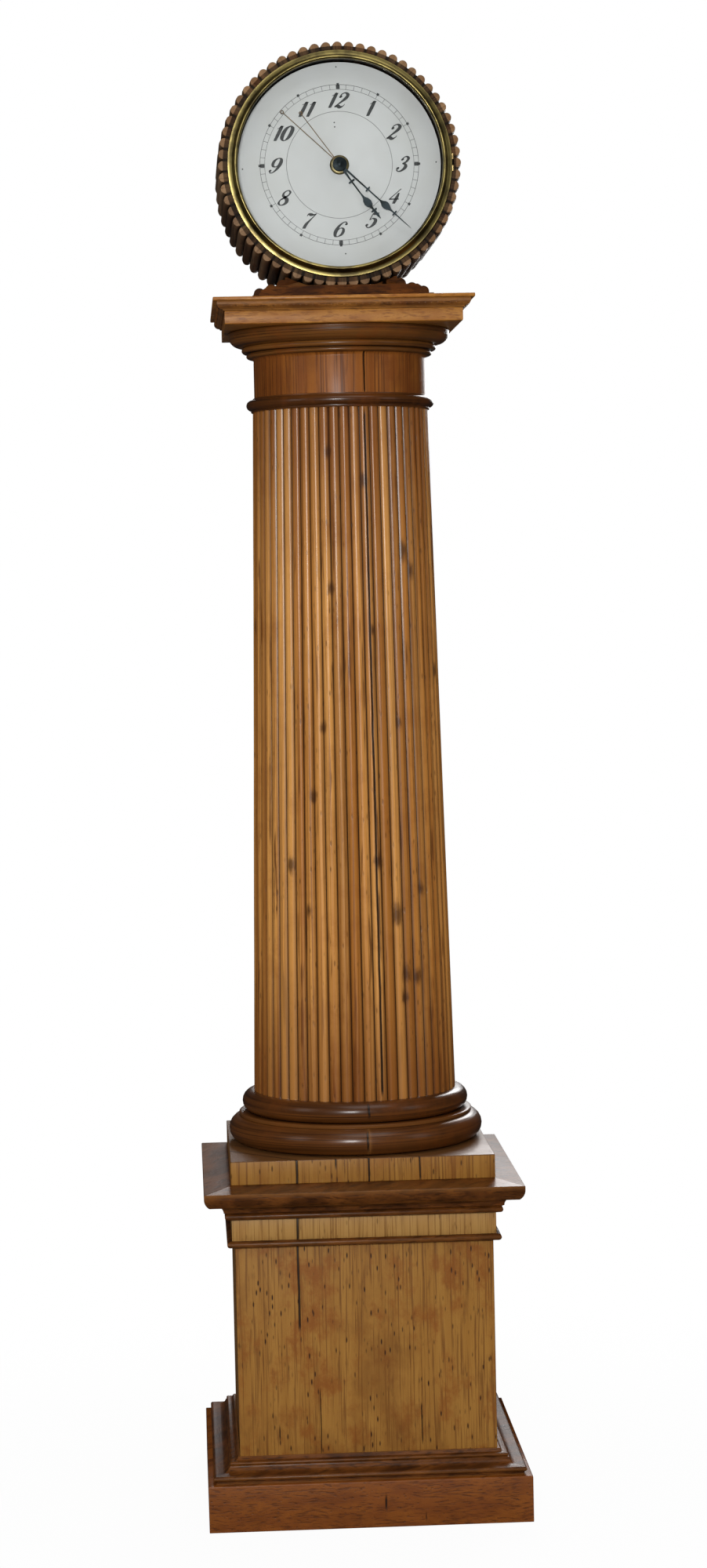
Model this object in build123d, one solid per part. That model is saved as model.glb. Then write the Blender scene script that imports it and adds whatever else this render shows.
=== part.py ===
from build123d import *
import math
import os

# Tall case clock: a round reeded head on a reeded column that stands on a square pedestal.
# Millimetres, +Z up, origin on the floor under the middle of the case, front towards -Y.
# Angles round the column (azimuths) count from the front, towards +X.
# Angles on the dial count clockwise from twelve, seen from the front.

# ---- driving dimensions: pedestal ----
PLINTH_HALF = 225.0
PLINTH_TOP = 65.0
DIE_HALF = 180.0
DIE_BOTTOM = 95.0
DIE_TOP = 389.0
FRIEZE_HALF = 184.0
FRIEZE_BOTTOM = 398.0
FRIEZE_TOP = 428.0
BEAD_HALF = 191.0
CORNICE_HALF = 222.0
CORNICE_TOP = 470.0
CORNICE_SLOPE = 6.0
BLOCK_HALF = 184.0
BLOCK_TOP = 509.0
BOARD = 20.0
MITRE_SPAN = 400.0

# ---- driving dimensions: column ----
LOWER_TORUS_R = 182.0
LOWER_TORUS_TOP = 547.0
FILLET_R = 167.0
FILLET_TOP = 552.0
UPPER_TORUS_R = 162.0
SHAFT_BOTTOM = 582.0
SHAFT_TOP = 1551.0
SHAFT_R_BOTTOM = 145.3
SHAFT_R_TOP = 125.0
SHAFT_WALL = 20.0
SHAFT_REEDS = 54
REED_DEPTH_RATIO = 0.033
REED_PHASE = -0.6
NECK_R = 122.0
NECK_BOTTOM = 1571.0
NECK_TOP = 1627.0
NECK_WALL = 20.0
CAPITAL_TOP = 1664.0
COLUMN_BORE_R = 102.0

# ---- driving dimensions: capital and head ----
ABACUS_HALF = 164.0
FASCIA_TOP = 1682.0
CROWN_TOP = 1695.0
ABACUS_TOP = 1700.0
ABACUS_TIP_HALF = 180.0
BEAD_PITCH = 8.6
BEAD_R = 2.6
HEAD_Z = 1883.0
HEAD_FRONT = -134.0
HEAD_BACK = 141.0
HEAD_REEDS = 64
HEAD_CORE_R = 161.3
HEAD_INNER_R = 150.0
HEAD_REED_R = 7.9
DIAL_R = 140.5
DIAL_FRONT = -126.0
DIAL_THICK = 1.5
BEZEL_R = 151.4
BEZEL_SIGHT_R = 141.6
BEZEL_BACK = 2.8
GLASS_R = 144.0
GLASS_DEPTH = 12.0
GLASS_THICK = 2.2
WELL_X = 60.0
WELL_Y = (-78.0, 24.0)
SADDLE_HALF = 122.0

# ---- driving dimensions: doors ----
DOOR_BOTTOM = 720.0
DOOR_TOP = 1430.0
DOOR_REEDS = 11
DOOR_GAP = 0.6
LEAF_THICK = 1.2
KNUCKLE_R = 2.6
HINGE_PIN_R = 1.2
HINGE_R = 2.2
COVER_HINGE = (150.0, HEAD_BACK + 2.5)
BEZEL_HINGE = (156.0, HEAD_FRONT - 2.6)

# ---- driving dimensions: movement ----
FRONT_PLATE = (-99.0, -96.0)
BACK_PLATE = (-33.0, -30.0)
PLATE_X = 50.0
PLATE_Z = (-112.0, 106.0)
SEAT_THICK = 14.0
ARBOR_R = 2.5
PIVOT_PLAY = 0.06
GREAT_Z = -52.5
THIRD = (18.0, 31.2)
ESCAPE_Z = 55.9
PALLET_Z = 84.2
ESCAPE_R = 20.0
MINUTE_WHEEL = (-27.71, -16.0)
PULLEY_R = 32.0
PULLEY_Y = -44.0
ROPE_R = 2.2
PENDULUM_Y = 2.0
PENDULUM_LENGTH = 994.0
BOB_R = 50.0
WEIGHT_R = 27.0
WEIGHT_Z = (1170.0, 1330.0)
COUNTER_Z = 600.0
HOUR_ANGLE = 143.5
MINUTE_ANGLE = 132.7


# ---- small helpers ----
def block(x, y, z):
    """A box from three (low, high) pairs."""
    middle = [(low + high) / 2 for low, high in (x, y, z)]
    return Pos(*middle) * Box(x[1] - x[0], y[1] - y[0], z[1] - z[0])


def outline(start, *moves):
    """A face in the XZ plane: (x, z) is a straight move, (xm, zm, x, z) an arc through (xm, zm)."""
    edges = []
    here = start
    for move in moves:
        there = move[-2:]
        ends = (here[0], 0, here[1]), (there[0], 0, there[1])
        if len(move) == 2:
            edges.append(Line(*ends))
        else:
            edges.append(ThreePointArc(ends[0], (move[0], 0, move[1]), ends[1]))
        here = there
    if here != start:
        edges.append(Line((here[0], 0, here[1]), (start[0], 0, start[1])))
    return make_face(Wire(edges))


def turned(start, *moves):
    """A solid of revolution about the column's axis."""
    return revolve(outline(start, *moves), Axis.Z, 360)


def faced(start, *moves):
    """A solid of revolution about the dial's axis, from (radius, distance in front of y = 0)."""
    solid = turned(start, *moves)
    return Pos(0, 0, HEAD_Z) * Rot(90, 0, 0) * solid


def rod(x, z, radius, y):
    """A round rod along Y at (x, z), between the two y values."""
    middle = Pos(x, (y[0] + y[1]) / 2, z) * Rot(90, 0, 0)
    return middle * Cylinder(radius, y[1] - y[0])


def post(x, y, radius, z):
    """A round rod along Z."""
    return Pos(x, y, (z[0] + z[1]) / 2) * Cylinder(radius, z[1] - z[0])


def slab(points, y):
    """A flat plate cut to an outline of (x, z) points, between the two y values."""
    face = make_face(Polyline([(x, y[1], z) for x, z in points], close=True))
    return extrude(face, y[1] - y[0], dir=(0, -1, 0))


def azimuth(angle, radius):
    turn = math.radians(angle)
    return radius * math.sin(turn), -radius * math.cos(turn)


def sector(start, end, radius, z):
    """A wedge of the space round the column between two azimuths."""
    steps = max(2, int((end - start) / 20) + 1)
    angles = [start + (end - start) * i / steps for i in range(steps + 1)]
    points = [(0, 0)] + [azimuth(angle, radius * 1.4) for angle in angles]
    face = make_face(Polyline([(x, y, z[0]) for x, y in points], close=True))
    return extrude(face, z[1] - z[0], dir=(0, 0, 1))


def four_sides(front):
    return [Rot(0, 0, 90 * side) * front for side in range(4)]


def mitre_wedge(z):
    points = [(0, 0, z[0]), (-MITRE_SPAN, -MITRE_SPAN, z[0]), (MITRE_SPAN, -MITRE_SPAN, z[0])]
    return extrude(make_face(Polyline(points, close=True)), z[1] - z[0], dir=(0, 0, 1))


def moulding(start, *moves):
    """Four mitred lengths of moulding round a square; the outline is (distance from middle, z)."""
    face = Rot(0, 0, -90) * outline(start, *moves)
    heights = [move[-1] for move in moves] + [start[1]]
    length = extrude(face, 300, both=True, dir=(1, 0, 0))
    front = length & mitre_wedge((min(heights) - 5, max(heights) + 5))
    return four_sides(front)


def boards(half, thick, z):
    """Four mitred boards round a square."""
    return moulding((half - thick, z[0]), (half, z[0]), (half, z[1]), (half - thick, z[1]))


def save(node, *solids):
    flat = []
    for solid in solids:
        flat += solid if isinstance(solid, list) else [solid]
    flat = [piece for shape in flat for piece in shape.solids()]
    shape = flat[0] if len(flat) == 1 else Compound(children=flat)
    shape.label = node
    export_step(shape, f"parts/{node}.step")


# ---- pedestal ----
def plinth():
    save("plinth_boards", boards(PLINTH_HALF, BOARD + 4, (0, PLINTH_TOP)))


def base_moulding():
    inner = DIE_HALF
    low = PLINTH_TOP
    save("base_moulding", moulding(
        (inner, low), (214, low), (214, low + 4), (217.5, low + 8, 213, low + 11),
        (206, low + 12), (199, low + 14, 195, low + 20), (193, low + 21),
        (193.5, low + 24, 190, low + 25), (186, low + 26), (183, low + 30), (inner, low + 30)))


def die():
    """Two boards side by side in front, one on each side and one behind."""
    z = (DIE_BOTTOM - 25, FRIEZE_TOP)
    joint = -94.0
    inner = DIE_HALF - BOARD
    face = (-DIE_HALF, -inner)
    front = [block((-DIE_HALF, joint), face, z), block((joint, DIE_HALF), face, z)]
    sides = [block((-DIE_HALF, -inner), (-inner, DIE_HALF), z),
             block((inner, DIE_HALF), (-inner, DIE_HALF), z)]
    back = block((-inner, inner), (inner, DIE_HALF), z)
    save("die_boards", front, sides, back)


def corner_blocks():
    half = DIE_HALF - BOARD
    low = [block((sx * half - 15 - sx * 15, sx * half + 15 - sx * 15),
                 (sy * half - 15 - sy * 15, sy * half + 15 - sy * 15),
                 (100, 380)) for sx in (-1, 1) for sy in (-1, 1)]
    save("corner_blocks", low)


def frieze():
    save("frieze_boards", boards(FRIEZE_HALF, FRIEZE_HALF - DIE_HALF, (FRIEZE_BOTTOM, FRIEZE_TOP)))
    middle = (DIE_TOP + FRIEZE_BOTTOM) / 2
    save("frieze_bead", moulding(
        (DIE_HALF, DIE_TOP), (BEAD_HALF - 4.5, DIE_TOP),
        (BEAD_HALF, middle, BEAD_HALF - 4.5, FRIEZE_BOTTOM), (DIE_HALF, FRIEZE_BOTTOM)))


def cornice():
    low = FRIEZE_TOP
    board_low = CORNICE_TOP - 20
    save("cornice_moulding", moulding(
        (DIE_HALF - BOARD, low), (187, low), (191, low + 1), (193.5, low + 5, 191, low + 9),
        (195, low + 11.5), (198.1, low + 18.9, 205.5, board_low), (DIE_HALF - BOARD, board_low)))
    tip = CORNICE_HALF
    edge = moulding((150, board_low), (tip - 7, board_low), (tip - 2, board_low + 6, tip, board_low + 14),
                    (tip, CORNICE_TOP), (BLOCK_HALF, CORNICE_TOP + CORNICE_SLOPE),
                    (150, CORNICE_TOP + CORNICE_SLOPE))
    save("cornice_board", edge)


def column_block():
    low = CORNICE_TOP + CORNICE_SLOPE
    solid = block((-BLOCK_HALF, BLOCK_HALF), (-BLOCK_HALF, BLOCK_HALF), (low, BLOCK_TOP))
    bore = post(0, 0, COLUMN_BORE_R + 14, (low - 1, BLOCK_TOP + 1))
    save("column_block", solid - bore)


# ---- column ----
def seam():
    """The glued joint that runs up the front of the shaft, in the middle of a reed."""
    return REED_PHASE + 2 * 360 / SHAFT_REEDS


def halves(ring, z):
    """A ring in two halves, parted at the front seam and behind."""
    right = ring & sector(seam(), 180 + REED_PHASE, 300, z)
    left = ring & sector(REED_PHASE - 180, seam(), 300, z)
    return [left, right]


def column_base():
    inner = COLUMN_BORE_R + 18
    r = (LOWER_TORUS_TOP - BLOCK_TOP) / 2
    middle = BLOCK_TOP + r
    lower = turned((inner, BLOCK_TOP), (LOWER_TORUS_R - r, BLOCK_TOP),
                   (LOWER_TORUS_R, middle, LOWER_TORUS_R - r, LOWER_TORUS_TOP),
                   (inner, LOWER_TORUS_TOP))
    save("lower_torus", halves(lower, (BLOCK_TOP - 1, LOWER_TORUS_TOP + 1)))
    r = (SHAFT_BOTTOM - FILLET_TOP) / 2
    middle = FILLET_TOP + r
    upper = turned((inner, LOWER_TORUS_TOP), (FILLET_R, LOWER_TORUS_TOP), (FILLET_R, FILLET_TOP),
                   (UPPER_TORUS_R - r, FILLET_TOP),
                   (UPPER_TORUS_R, middle, UPPER_TORUS_R - r, SHAFT_BOTTOM), (inner, SHAFT_BOTTOM))
    save("upper_torus", upper)


def shaft_radius(z):
    share = (z - SHAFT_BOTTOM) / (SHAFT_TOP - SHAFT_BOTTOM)
    return SHAFT_R_BOTTOM + (SHAFT_R_TOP - SHAFT_R_BOTTOM) * share


def reeded_section(z):
    pitch = 360 / SHAFT_REEDS
    crest = shaft_radius(z)
    groove = crest * (1 - REED_DEPTH_RATIO)
    edges = []
    for reed in range(SHAFT_REEDS):
        middle = REED_PHASE + reed * pitch
        ends = [(*azimuth(middle + side * pitch / 2, groove), z) for side in (-1, 1)]
        edges.append(ThreePointArc(ends[0], (*azimuth(middle, crest), z), ends[1]))
    return make_face(Wire(edges))


def door_edges():
    half = DOOR_REEDS * 180 / SHAFT_REEDS
    return 180 + REED_PHASE - half, 180 + REED_PHASE + half


def door_hinge_line():
    """The hinge axis runs just outside the reeds, along the +X edge of the door."""
    edge = door_edges()[0]
    low = Vector(*azimuth(edge, shaft_radius(DOOR_BOTTOM) + 1.0), DOOR_BOTTOM)
    high = Vector(*azimuth(edge, shaft_radius(DOOR_TOP) + 1.0), DOOR_TOP)
    return low, (high - low).normalized()


def door_leaf(height, side):
    """One leaf of a door hinge with its part of the knuckle; side 1 is the door, -1 the case."""
    low, along = door_hinge_line()
    edge = door_edges()[0]
    centre = low + along * (height - DOOR_BOTTOM)
    inward = Vector(*azimuth(edge, -1.0), 0)
    frame = Plane(origin=centre, x_dir=inward, z_dir=along)
    tangent = frame.y_dir
    toward_door = Vector(*azimuth(edge + 90, 1.0), 0)
    turn = side if tangent.dot(toward_door) > 0 else -side
    near = DOOR_GAP / 2
    plate = Box(16, LEAF_THICK, 50, align=(Align.MIN, Align.CENTER, Align.CENTER))
    leaf = Pos(KNUCKLE_R + 0.5, turn * (near + LEAF_THICK / 2), 0) * plate
    spans = [(-10, 10)] if side == 1 else [(-25, -10.4), (10.4, 25)]
    pieces = [leaf]
    for z0, z1 in spans:
        barrel = Pos(0, 0, (z0 + z1) / 2) * Cylinder(KNUCKLE_R, z1 - z0)
        tab = Pos(0, turn * (near + LEAF_THICK / 2), (z0 + z1) / 2) * Box(
            KNUCKLE_R + 1, LEAF_THICK, z1 - z0, align=(Align.MIN, Align.CENTER, Align.CENTER))
        pieces += [barrel, tab]
    solid = pieces[0]
    for piece in pieces[1:]:
        solid = solid + piece
    pin = Cylinder(HINGE_PIN_R, 51)
    if side == 1:
        solid = solid - Cylinder(HINGE_PIN_R + PIVOT_PLAY, 60)
    else:
        solid = solid + pin
    return frame.location * solid


def hinge_heights():
    return DOOR_BOTTOM + 110, DOOR_TOP - 110


def shaft():
    z = (SHAFT_BOTTOM, SHAFT_TOP)
    reeded = loft([reeded_section(z[0]), reeded_section(z[1])], ruled=True)
    bore = turned((0, z[0] - 1), (SHAFT_R_BOTTOM - SHAFT_WALL, z[0] - 1),
                  (SHAFT_R_TOP - SHAFT_WALL, z[1] + 1), (0, z[1] + 1))
    tube = reeded - bore
    start, end = door_edges()
    opening = sector(start, end, 300, (DOOR_BOTTOM, DOOR_TOP))
    slack = math.degrees(DOOR_GAP / 2 / SHAFT_R_TOP)
    panel_zone = sector(start + slack, end - slack, 300, (DOOR_BOTTOM + 1, DOOR_TOP - 1))
    frame = sector(start - slack, end + slack, 300, (DOOR_BOTTOM, DOOR_TOP))
    shells = halves(tube - frame, (z[0] - 1, z[1] + 1))
    panel = tube & opening & panel_zone
    panel = panel - door_knob()
    for height in hinge_heights():
        panel = panel - door_leaf(height, 1)
        shells = [shell - door_leaf(height, -1) for shell in shells]
    save("shaft_left", shells[0])
    save("shaft_right", shells[1])
    save("shaft_door", panel)
    save("shaft_door_leaves", [door_leaf(height, 1) for height in hinge_heights()])
    save("shaft_door_knob", door_knob())


def door_knob():
    """A small turned knob near the free edge of the door, let into a reed."""
    angle = door_edges()[1] - 1.5 * 360 / SHAFT_REEDS
    height = (DOOR_BOTTOM + DOOR_TOP) / 2
    reach = shaft_radius(height)
    profile = outline((0, -6), (4, -6), (4, 8), (9, 12), (11, 17, 9, 21), (0, 24))
    knob = revolve(profile, Axis.Z, 360)
    x, y = azimuth(angle, reach - 0.5)
    outward = Vector(*azimuth(angle, 1.0), 0)
    place = Plane(origin=(x, y, height), z_dir=outward).location
    return place * knob


def neck_and_capital():
    inner = NECK_R - NECK_WALL
    low = SHAFT_TOP
    astragal = turned((inner, low), (127, low), (127, low + 3), (128, low + 3),
                      (133.6, low + 10, 128, low + 17), (124, low + 17), (124, low + 20),
                      (inner, low + 20))
    save("astragal", astragal)
    neck = turned((inner, NECK_BOTTOM), (NECK_R, NECK_BOTTOM), (NECK_R, NECK_TOP - 6),
                  (NECK_R + 0.6, NECK_TOP - 2, NECK_R + 3, NECK_TOP), (inner, NECK_TOP))
    save("neck", halves(neck, (NECK_BOTTOM - 1, NECK_TOP + 1)))
    low = NECK_TOP
    echinus = turned((inner, low), (128, low), (132, low + 3.5, 129, low + 7), (132, low + 8),
                     (138.5, low + 12, 136, low + 15.5), (140, low + 16.5), (144, low + 17),
                     (155.5, low + 25, 157, low + 33), (155, low + 37), (inner, low + 37))
    save("echinus", echinus)


# ---- capital slab ----
def abacus():
    low = CAPITAL_TOP
    save("abacus_boards", boards(ABACUS_HALF, 60, (low, FASCIA_TOP)))
    inner = ABACUS_HALF - 40
    crown = moulding((inner, FASCIA_TOP), (166, FASCIA_TOP), (167, FASCIA_TOP + 2),
                     (173, FASCIA_TOP + 5, 174, CROWN_TOP), (inner, CROWN_TOP))
    carved = crown[0] + carved_beads()
    save("abacus_crown", four_sides(carved))
    tip = ABACUS_TIP_HALF
    board = block((-tip, tip), (-tip, tip), (CROWN_TOP, ABACUS_TOP))
    well = block((-WELL_X, WELL_X), WELL_Y, (CROWN_TOP - 1, ABACUS_TOP + 1))
    save("abacus_board", board - well)


def carved_beads():
    """The row of beads carved along the front length of the crown."""
    count = int(2 * (ABACUS_HALF - 1) / BEAD_PITCH)
    start = -(count - 1) * BEAD_PITCH / 2
    height = FASCIA_TOP + 6.5
    return [Pos(start + i * BEAD_PITCH, -171.6, height) * Sphere(BEAD_R) for i in range(count)]


# ---- head ----
def well(z):
    return block((-WELL_X, WELL_X), WELL_Y, z)


def head_plinth():
    """A low block with three rolls stepping down on each side, hollowed to cradle the drum."""
    low = ABACUS_TOP
    base = block((-SADDLE_HALF - 3, SADDLE_HALF + 3), (-114, 122), (low, low + 5))
    rolls = [(SADDLE_HALF - 4, low + 13), (SADDLE_HALF - 20, low + 18), (SADDLE_HALF - 36, low + 24)]
    top = low + 31
    saddle = block((-SADDLE_HALF + 44, SADDLE_HALF - 44), (-111, 119), (low + 5, top))
    for x, z in rolls:
        saddle = saddle + block((-x, x), (-111, 119), (low + 5, z))
        for side in (-1, 1):
            saddle = saddle + rod(side * (x - 4), z - 4, 8, (-111, 119))
    cradle = rod(0, HEAD_Z, HEAD_CORE_R + HEAD_REED_R + 0.1, (-200, 200))
    side = [(SADDLE_HALF + 3, low), (SADDLE_HALF + 3, low + 3), (SADDLE_HALF - 5, low + 3),
            (SADDLE_HALF - 9, low + 9), (SADDLE_HALF - 19, low + 15.5)]
    apron = slab(side + [(-x, z) for x, z in reversed(side)], (-158, -114.3))
    apron = apron - rod(0, HEAD_Z, HEAD_CORE_R + HEAD_REED_R + 0.3, (HEAD_FRONT - 0.4, 0))
    floor = block((-300, 300), (-200, 200), (low - 20, low + 5))
    beside = [block((-400, -WELL_X), (-400, 400), (low, top)), block((WELL_X, 400), (-400, 400), (low, top)),
              block((-WELL_X, WELL_X), (-400, WELL_Y[0]), (low, top)), block((-WELL_X, WELL_X), (WELL_Y[1], 400), (low, top))]
    saddle = saddle - cradle - floor
    save("head_plinth", *[base & side_block for side_block in beside], *[saddle & side_block for side_block in beside], apron)


def drum_shell():
    corner = HEAD_CORE_R / math.cos(math.pi / HEAD_REEDS)
    points = []
    for i in range(HEAD_REEDS):
        turn = 2 * math.pi * (i + 0.5) / HEAD_REEDS
        points.append((corner * math.sin(turn), HEAD_Z + corner * math.cos(turn)))
    shell = slab(points, (HEAD_FRONT, HEAD_BACK))
    shell = shell - rod(0, HEAD_Z, HEAD_INNER_R, (HEAD_FRONT - 1, HEAD_BACK + 1))
    save("drum_shell", shell - well((HEAD_Z - 200, HEAD_Z - 100)))


def drum_reeds():
    """Half-round reeds laid round the shell from front to back."""
    half = outline((-HEAD_REED_R, 0), (HEAD_REED_R, 0), (0, HEAD_REED_R, -HEAD_REED_R, 0))
    length = HEAD_BACK - HEAD_FRONT
    reed = extrude(half, length, dir=(0, 1, 0))
    reed = Pos(0, HEAD_FRONT, HEAD_CORE_R) * reed
    opening = well((HEAD_Z - 200, HEAD_Z - 100))
    reeds = []
    for i in range(HEAD_REEDS):
        angle = 360 * i / HEAD_REEDS
        laid = Pos(0, 0, HEAD_Z) * Rot(0, angle, 0) * reed
        if abs(angle - 180) < 30:
            laid = laid - opening
        reeds.append(laid)
    save("drum_reeds", reeds)


def drum_rings():
    """The board ring behind the bezel, and the stop for the back cover."""
    front = faced((DIAL_R + 3, -HEAD_FRONT), (HEAD_INNER_R, -HEAD_FRONT),
                  (HEAD_INNER_R, -HEAD_FRONT - 18), (DIAL_R + 3, -HEAD_FRONT - 18))
    stop_y = HEAD_BACK - 11.3
    back = faced((HEAD_INNER_R - 12, -stop_y), (HEAD_INNER_R, -stop_y),
                 (HEAD_INNER_R, -stop_y + 10), (HEAD_INNER_R - 12, -stop_y + 10))
    hollow = rod(0, HEAD_Z, HEAD_INNER_R, (-120, 0))
    seat = HEAD_Z + PLATE_Z[0] - SEAT_THICK
    ledges = [block((side * 71 - 9, side * 71 + 9), (-108, -16), (seat - 30, seat)) & hollow
              for side in (-1, 1)]
    save("drum_rings", front, back, ledges)


def back_cover():
    front_y = HEAD_BACK - 11
    cover = rod(0, HEAD_Z, HEAD_INNER_R - 1.5, (front_y, HEAD_BACK))
    save("back_cover", cover)
    knob = faced((0, -HEAD_BACK), (4, -HEAD_BACK), (4, -HEAD_BACK - 6), (8, -HEAD_BACK - 9),
                 (9.5, -HEAD_BACK - 13, 8, -HEAD_BACK - 16), (0, -HEAD_BACK - 18))
    save("back_cover_knob", Pos(-130, 0, 0) * knob)


def vertical_hinge(x, y, z, side, leaf_x, leaf_y, length=26.0):
    """A small hinge with its pin along Z; side 1 is the moving leaf, -1 the fixed one."""
    third = length / 6
    spans = [(-third, third)] if side == 1 else [(-length / 2, -third - 0.3), (third + 0.3, length / 2)]
    plate = block(leaf_x, leaf_y, (z - length / 2, z + length / 2))
    solid = plate
    for low, high in spans:
        solid = solid + post(x, y, HINGE_R, (z + low, z + high))
        tab = block((x, leaf_x[0]) if leaf_x[0] > x else (leaf_x[1], x), leaf_y, (z + low, z + high))
        solid = solid + tab
    if side == 1:
        return solid - post(x, y, HINGE_PIN_R + PIVOT_PLAY, (z - length, z + length))
    return solid + post(x, y, HINGE_PIN_R, (z - length / 2, z + length / 2))


def cover_leaf(z, side):
    x, y = COVER_HINGE
    near = x + 4 if side == -1 else x - 16
    return vertical_hinge(x, y, z, side, (near, near + 12), (HEAD_BACK, HEAD_BACK + 1.2))


def bezel_leaf(side):
    x, y = BEZEL_HINGE
    leaf_y = (HEAD_FRONT - 2.8, HEAD_FRONT - 1.8) if side == 1 else (HEAD_FRONT - 1.2, HEAD_FRONT)
    return vertical_hinge(x, y, HEAD_Z, side, (144.0, x - 2.8), leaf_y, 24)


def hinges():
    fixed = [door_leaf(height, -1) for height in hinge_heights()]
    fixed += [cover_leaf(HEAD_Z + offset, -1) for offset in (-45, 45)]
    save("hinge_leaves", fixed, bezel_leaf(-1))
    save("back_cover_leaves", [cover_leaf(HEAD_Z + offset, 1) for offset in (-45, 45)])
    save("bezel_leaf", bezel_leaf(1))


# ---- dial, bezel and hands ----
def dial():
    back = DIAL_FRONT + DIAL_THICK
    save("dial", rod(0, HEAD_Z, DIAL_R, (DIAL_FRONT, back)) - rod(0, HEAD_Z, 8.5, (-140, -100)))
    feet = [rod(sx * 40, HEAD_Z + sz * 75, 3, (back, FRONT_PLATE[0])) for sx in (-1, 1) for sz in (-1, 1)]
    save("dial_feet", feet)
    depth = -DIAL_FRONT
    save("dial_collet", faced((8.5, depth), (13.4, depth), (13.4, depth + 0.8),
                              (11, depth + 2, 8.5, depth + 1.6)))


def bezel():
    front = -HEAD_FRONT
    seat = front + BEZEL_BACK + GLASS_DEPTH
    rabbet = GLASS_R + 0.4
    sight = BEZEL_SIGHT_R
    low = front + BEZEL_BACK
    ring = faced((sight, seat), (sight, seat + 2), (sight + 1.2, seat + 4.4),
                 (sight + 3, seat + 5.4, sight + 4.6, seat + 3.6),
                 (sight + 5.8, low + 6.8, sight + 8.8, low + 4.2), (BEZEL_R, low + 3.4),
                 (BEZEL_R, low), (rabbet, low), (rabbet, seat))
    keeper = faced((sight + 0.2, low), (rabbet, low),
                   (rabbet, seat - GLASS_THICK), (sight + 0.2, seat - GLASS_THICK))
    save("bezel", ring, keeper)
    save("bezel_glass", rod(0, HEAD_Z, GLASS_R, (-seat, -seat + GLASS_THICK)))


def hand_blade(points):
    right = [(x, z) for x, z in points]
    left = [(-x, z) for x, z in reversed(points) if x > 0]
    return right + left


def hand(points, boss, bore, bars, tail, ring, angle, y):
    """A flat hand with cross bars, and a thin wire tail that ends in a ring."""
    blade = slab(hand_blade(points), y) + rod(0, 0, boss, y)
    for z, half in bars:
        blade = blade + block((-half, half), y, (z - 1.1, z + 1.1))
    middle = (y[0] + y[1]) / 2
    wire = Pos(0, middle, -(tail + boss) / 2) * Cylinder(0.7, tail - boss)
    loop = Pos(0, middle, -tail - ring) * Rot(90, 0, 0) * Torus(ring, 0.7)
    blade = blade + wire + loop - rod(0, 0, bore, (y[0] - 1, y[1] + 1))
    return Pos(0, 0, HEAD_Z) * Rot(0, angle, 0) * blade


def hands():
    minute = [(0, 131), (0.9, 104), (1.3, 100), (1.4, 91), (4.6, 84.5), (1.6, 78), (1.9, 52), (2.7, 5), (0, 4)]
    save("minute_hand", hand(minute, 7.0, 2.5, [(100.7, 4.2), (51.5, 4.2)], 103, 2.2,
                             MINUTE_ANGLE, (-135.6, -134.4)))
    hour = [(0, 93), (1.2, 80), (1.6, 76), (5.2, 65.5), (2.2, 55), (2.4, 30), (3.2, 7), (0, 6)]
    save("hour_hand", hand(hour, 8.0, 6.5, [(78.4, 4.6), (28.2, 4.6)], 85, 2.2,
                           HOUR_ANGLE, (-131.4, -130.2)))


# ---- movement ----
def mesh_phase(count_a, phase_a, count_b, line):
    """The angle of a tooth of gear b, so that it meets a space of gear a on the line of centres."""
    offset = (phase_a - line) * count_a / 360
    return line + 180 - (offset + 0.5) * 360 / count_b


def gear(count, module, centre, y, phase, bore, wheel=True):
    """A flat gear: slim teeth with trimmed tips that run freely with their mates."""
    pitch = 360 / count
    radius = count * module / 2
    tip = radius + (0.85 if wheel else 0.6) * module
    root = radius - (1.15 if wheel else 1.25) * module
    width = 0.19 if wheel else 0.16
    shape = [(-0.26, root), (-width, radius), (-0.07, tip), (0.07, tip), (width, radius), (0.26, root)]
    points = []
    for tooth in range(count):
        for share, reach in shape:
            turn = math.radians(phase + (tooth + share) * pitch)
            points.append((centre[0] + reach * math.cos(turn), HEAD_Z + centre[1] + reach * math.sin(turn)))
    return slab(points, y) - rod(centre[0], HEAD_Z + centre[1], bore, (y[0] - 1, y[1] + 1))


def crossings(radius, hub, centre, y, arms=4, arm=5.0):
    """The windows between the arms of a wheel."""
    x, z = centre[0], HEAD_Z + centre[1]
    y = (y[0] - 1, y[1] + 1)
    windows = rod(x, z, radius, y) - rod(x, z, hub, y)
    for i in range(arms):
        bar = Box(2 * radius + 2, 40, arm)
        windows = windows - Pos(x, (y[0] + y[1]) / 2, z) * Rot(0, 180 * i / arms, 0) * bar
    return windows


def arbor(centre, spans):
    """A stepped arbor: (radius, y0, y1) for each step."""
    solid = None
    for radius, y0, y1 in spans:
        step = rod(centre[0], HEAD_Z + centre[1], radius, (y0, y1))
        solid = step if solid is None else solid + step
    return solid


def pivots(centre, barrel, ends=(-98.6, -30.4)):
    """An arbor between the plates with a pivot of 1.2 mm radius at each end."""
    return arbor(centre, [(barrel, FRONT_PLATE[1] + 0.5, BACK_PLATE[0] - 0.5), (1.2, *ends)])


CENTRE = (0.0, 0.0)
GREAT = (0.0, GREAT_Z)
ESCAPE = (0.0, ESCAPE_Z)
PALLET = (0.0, PALLET_Z)


def line_angle(a, b):
    return math.degrees(math.atan2(b[1] - a[1], b[0] - a[0]))


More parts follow.
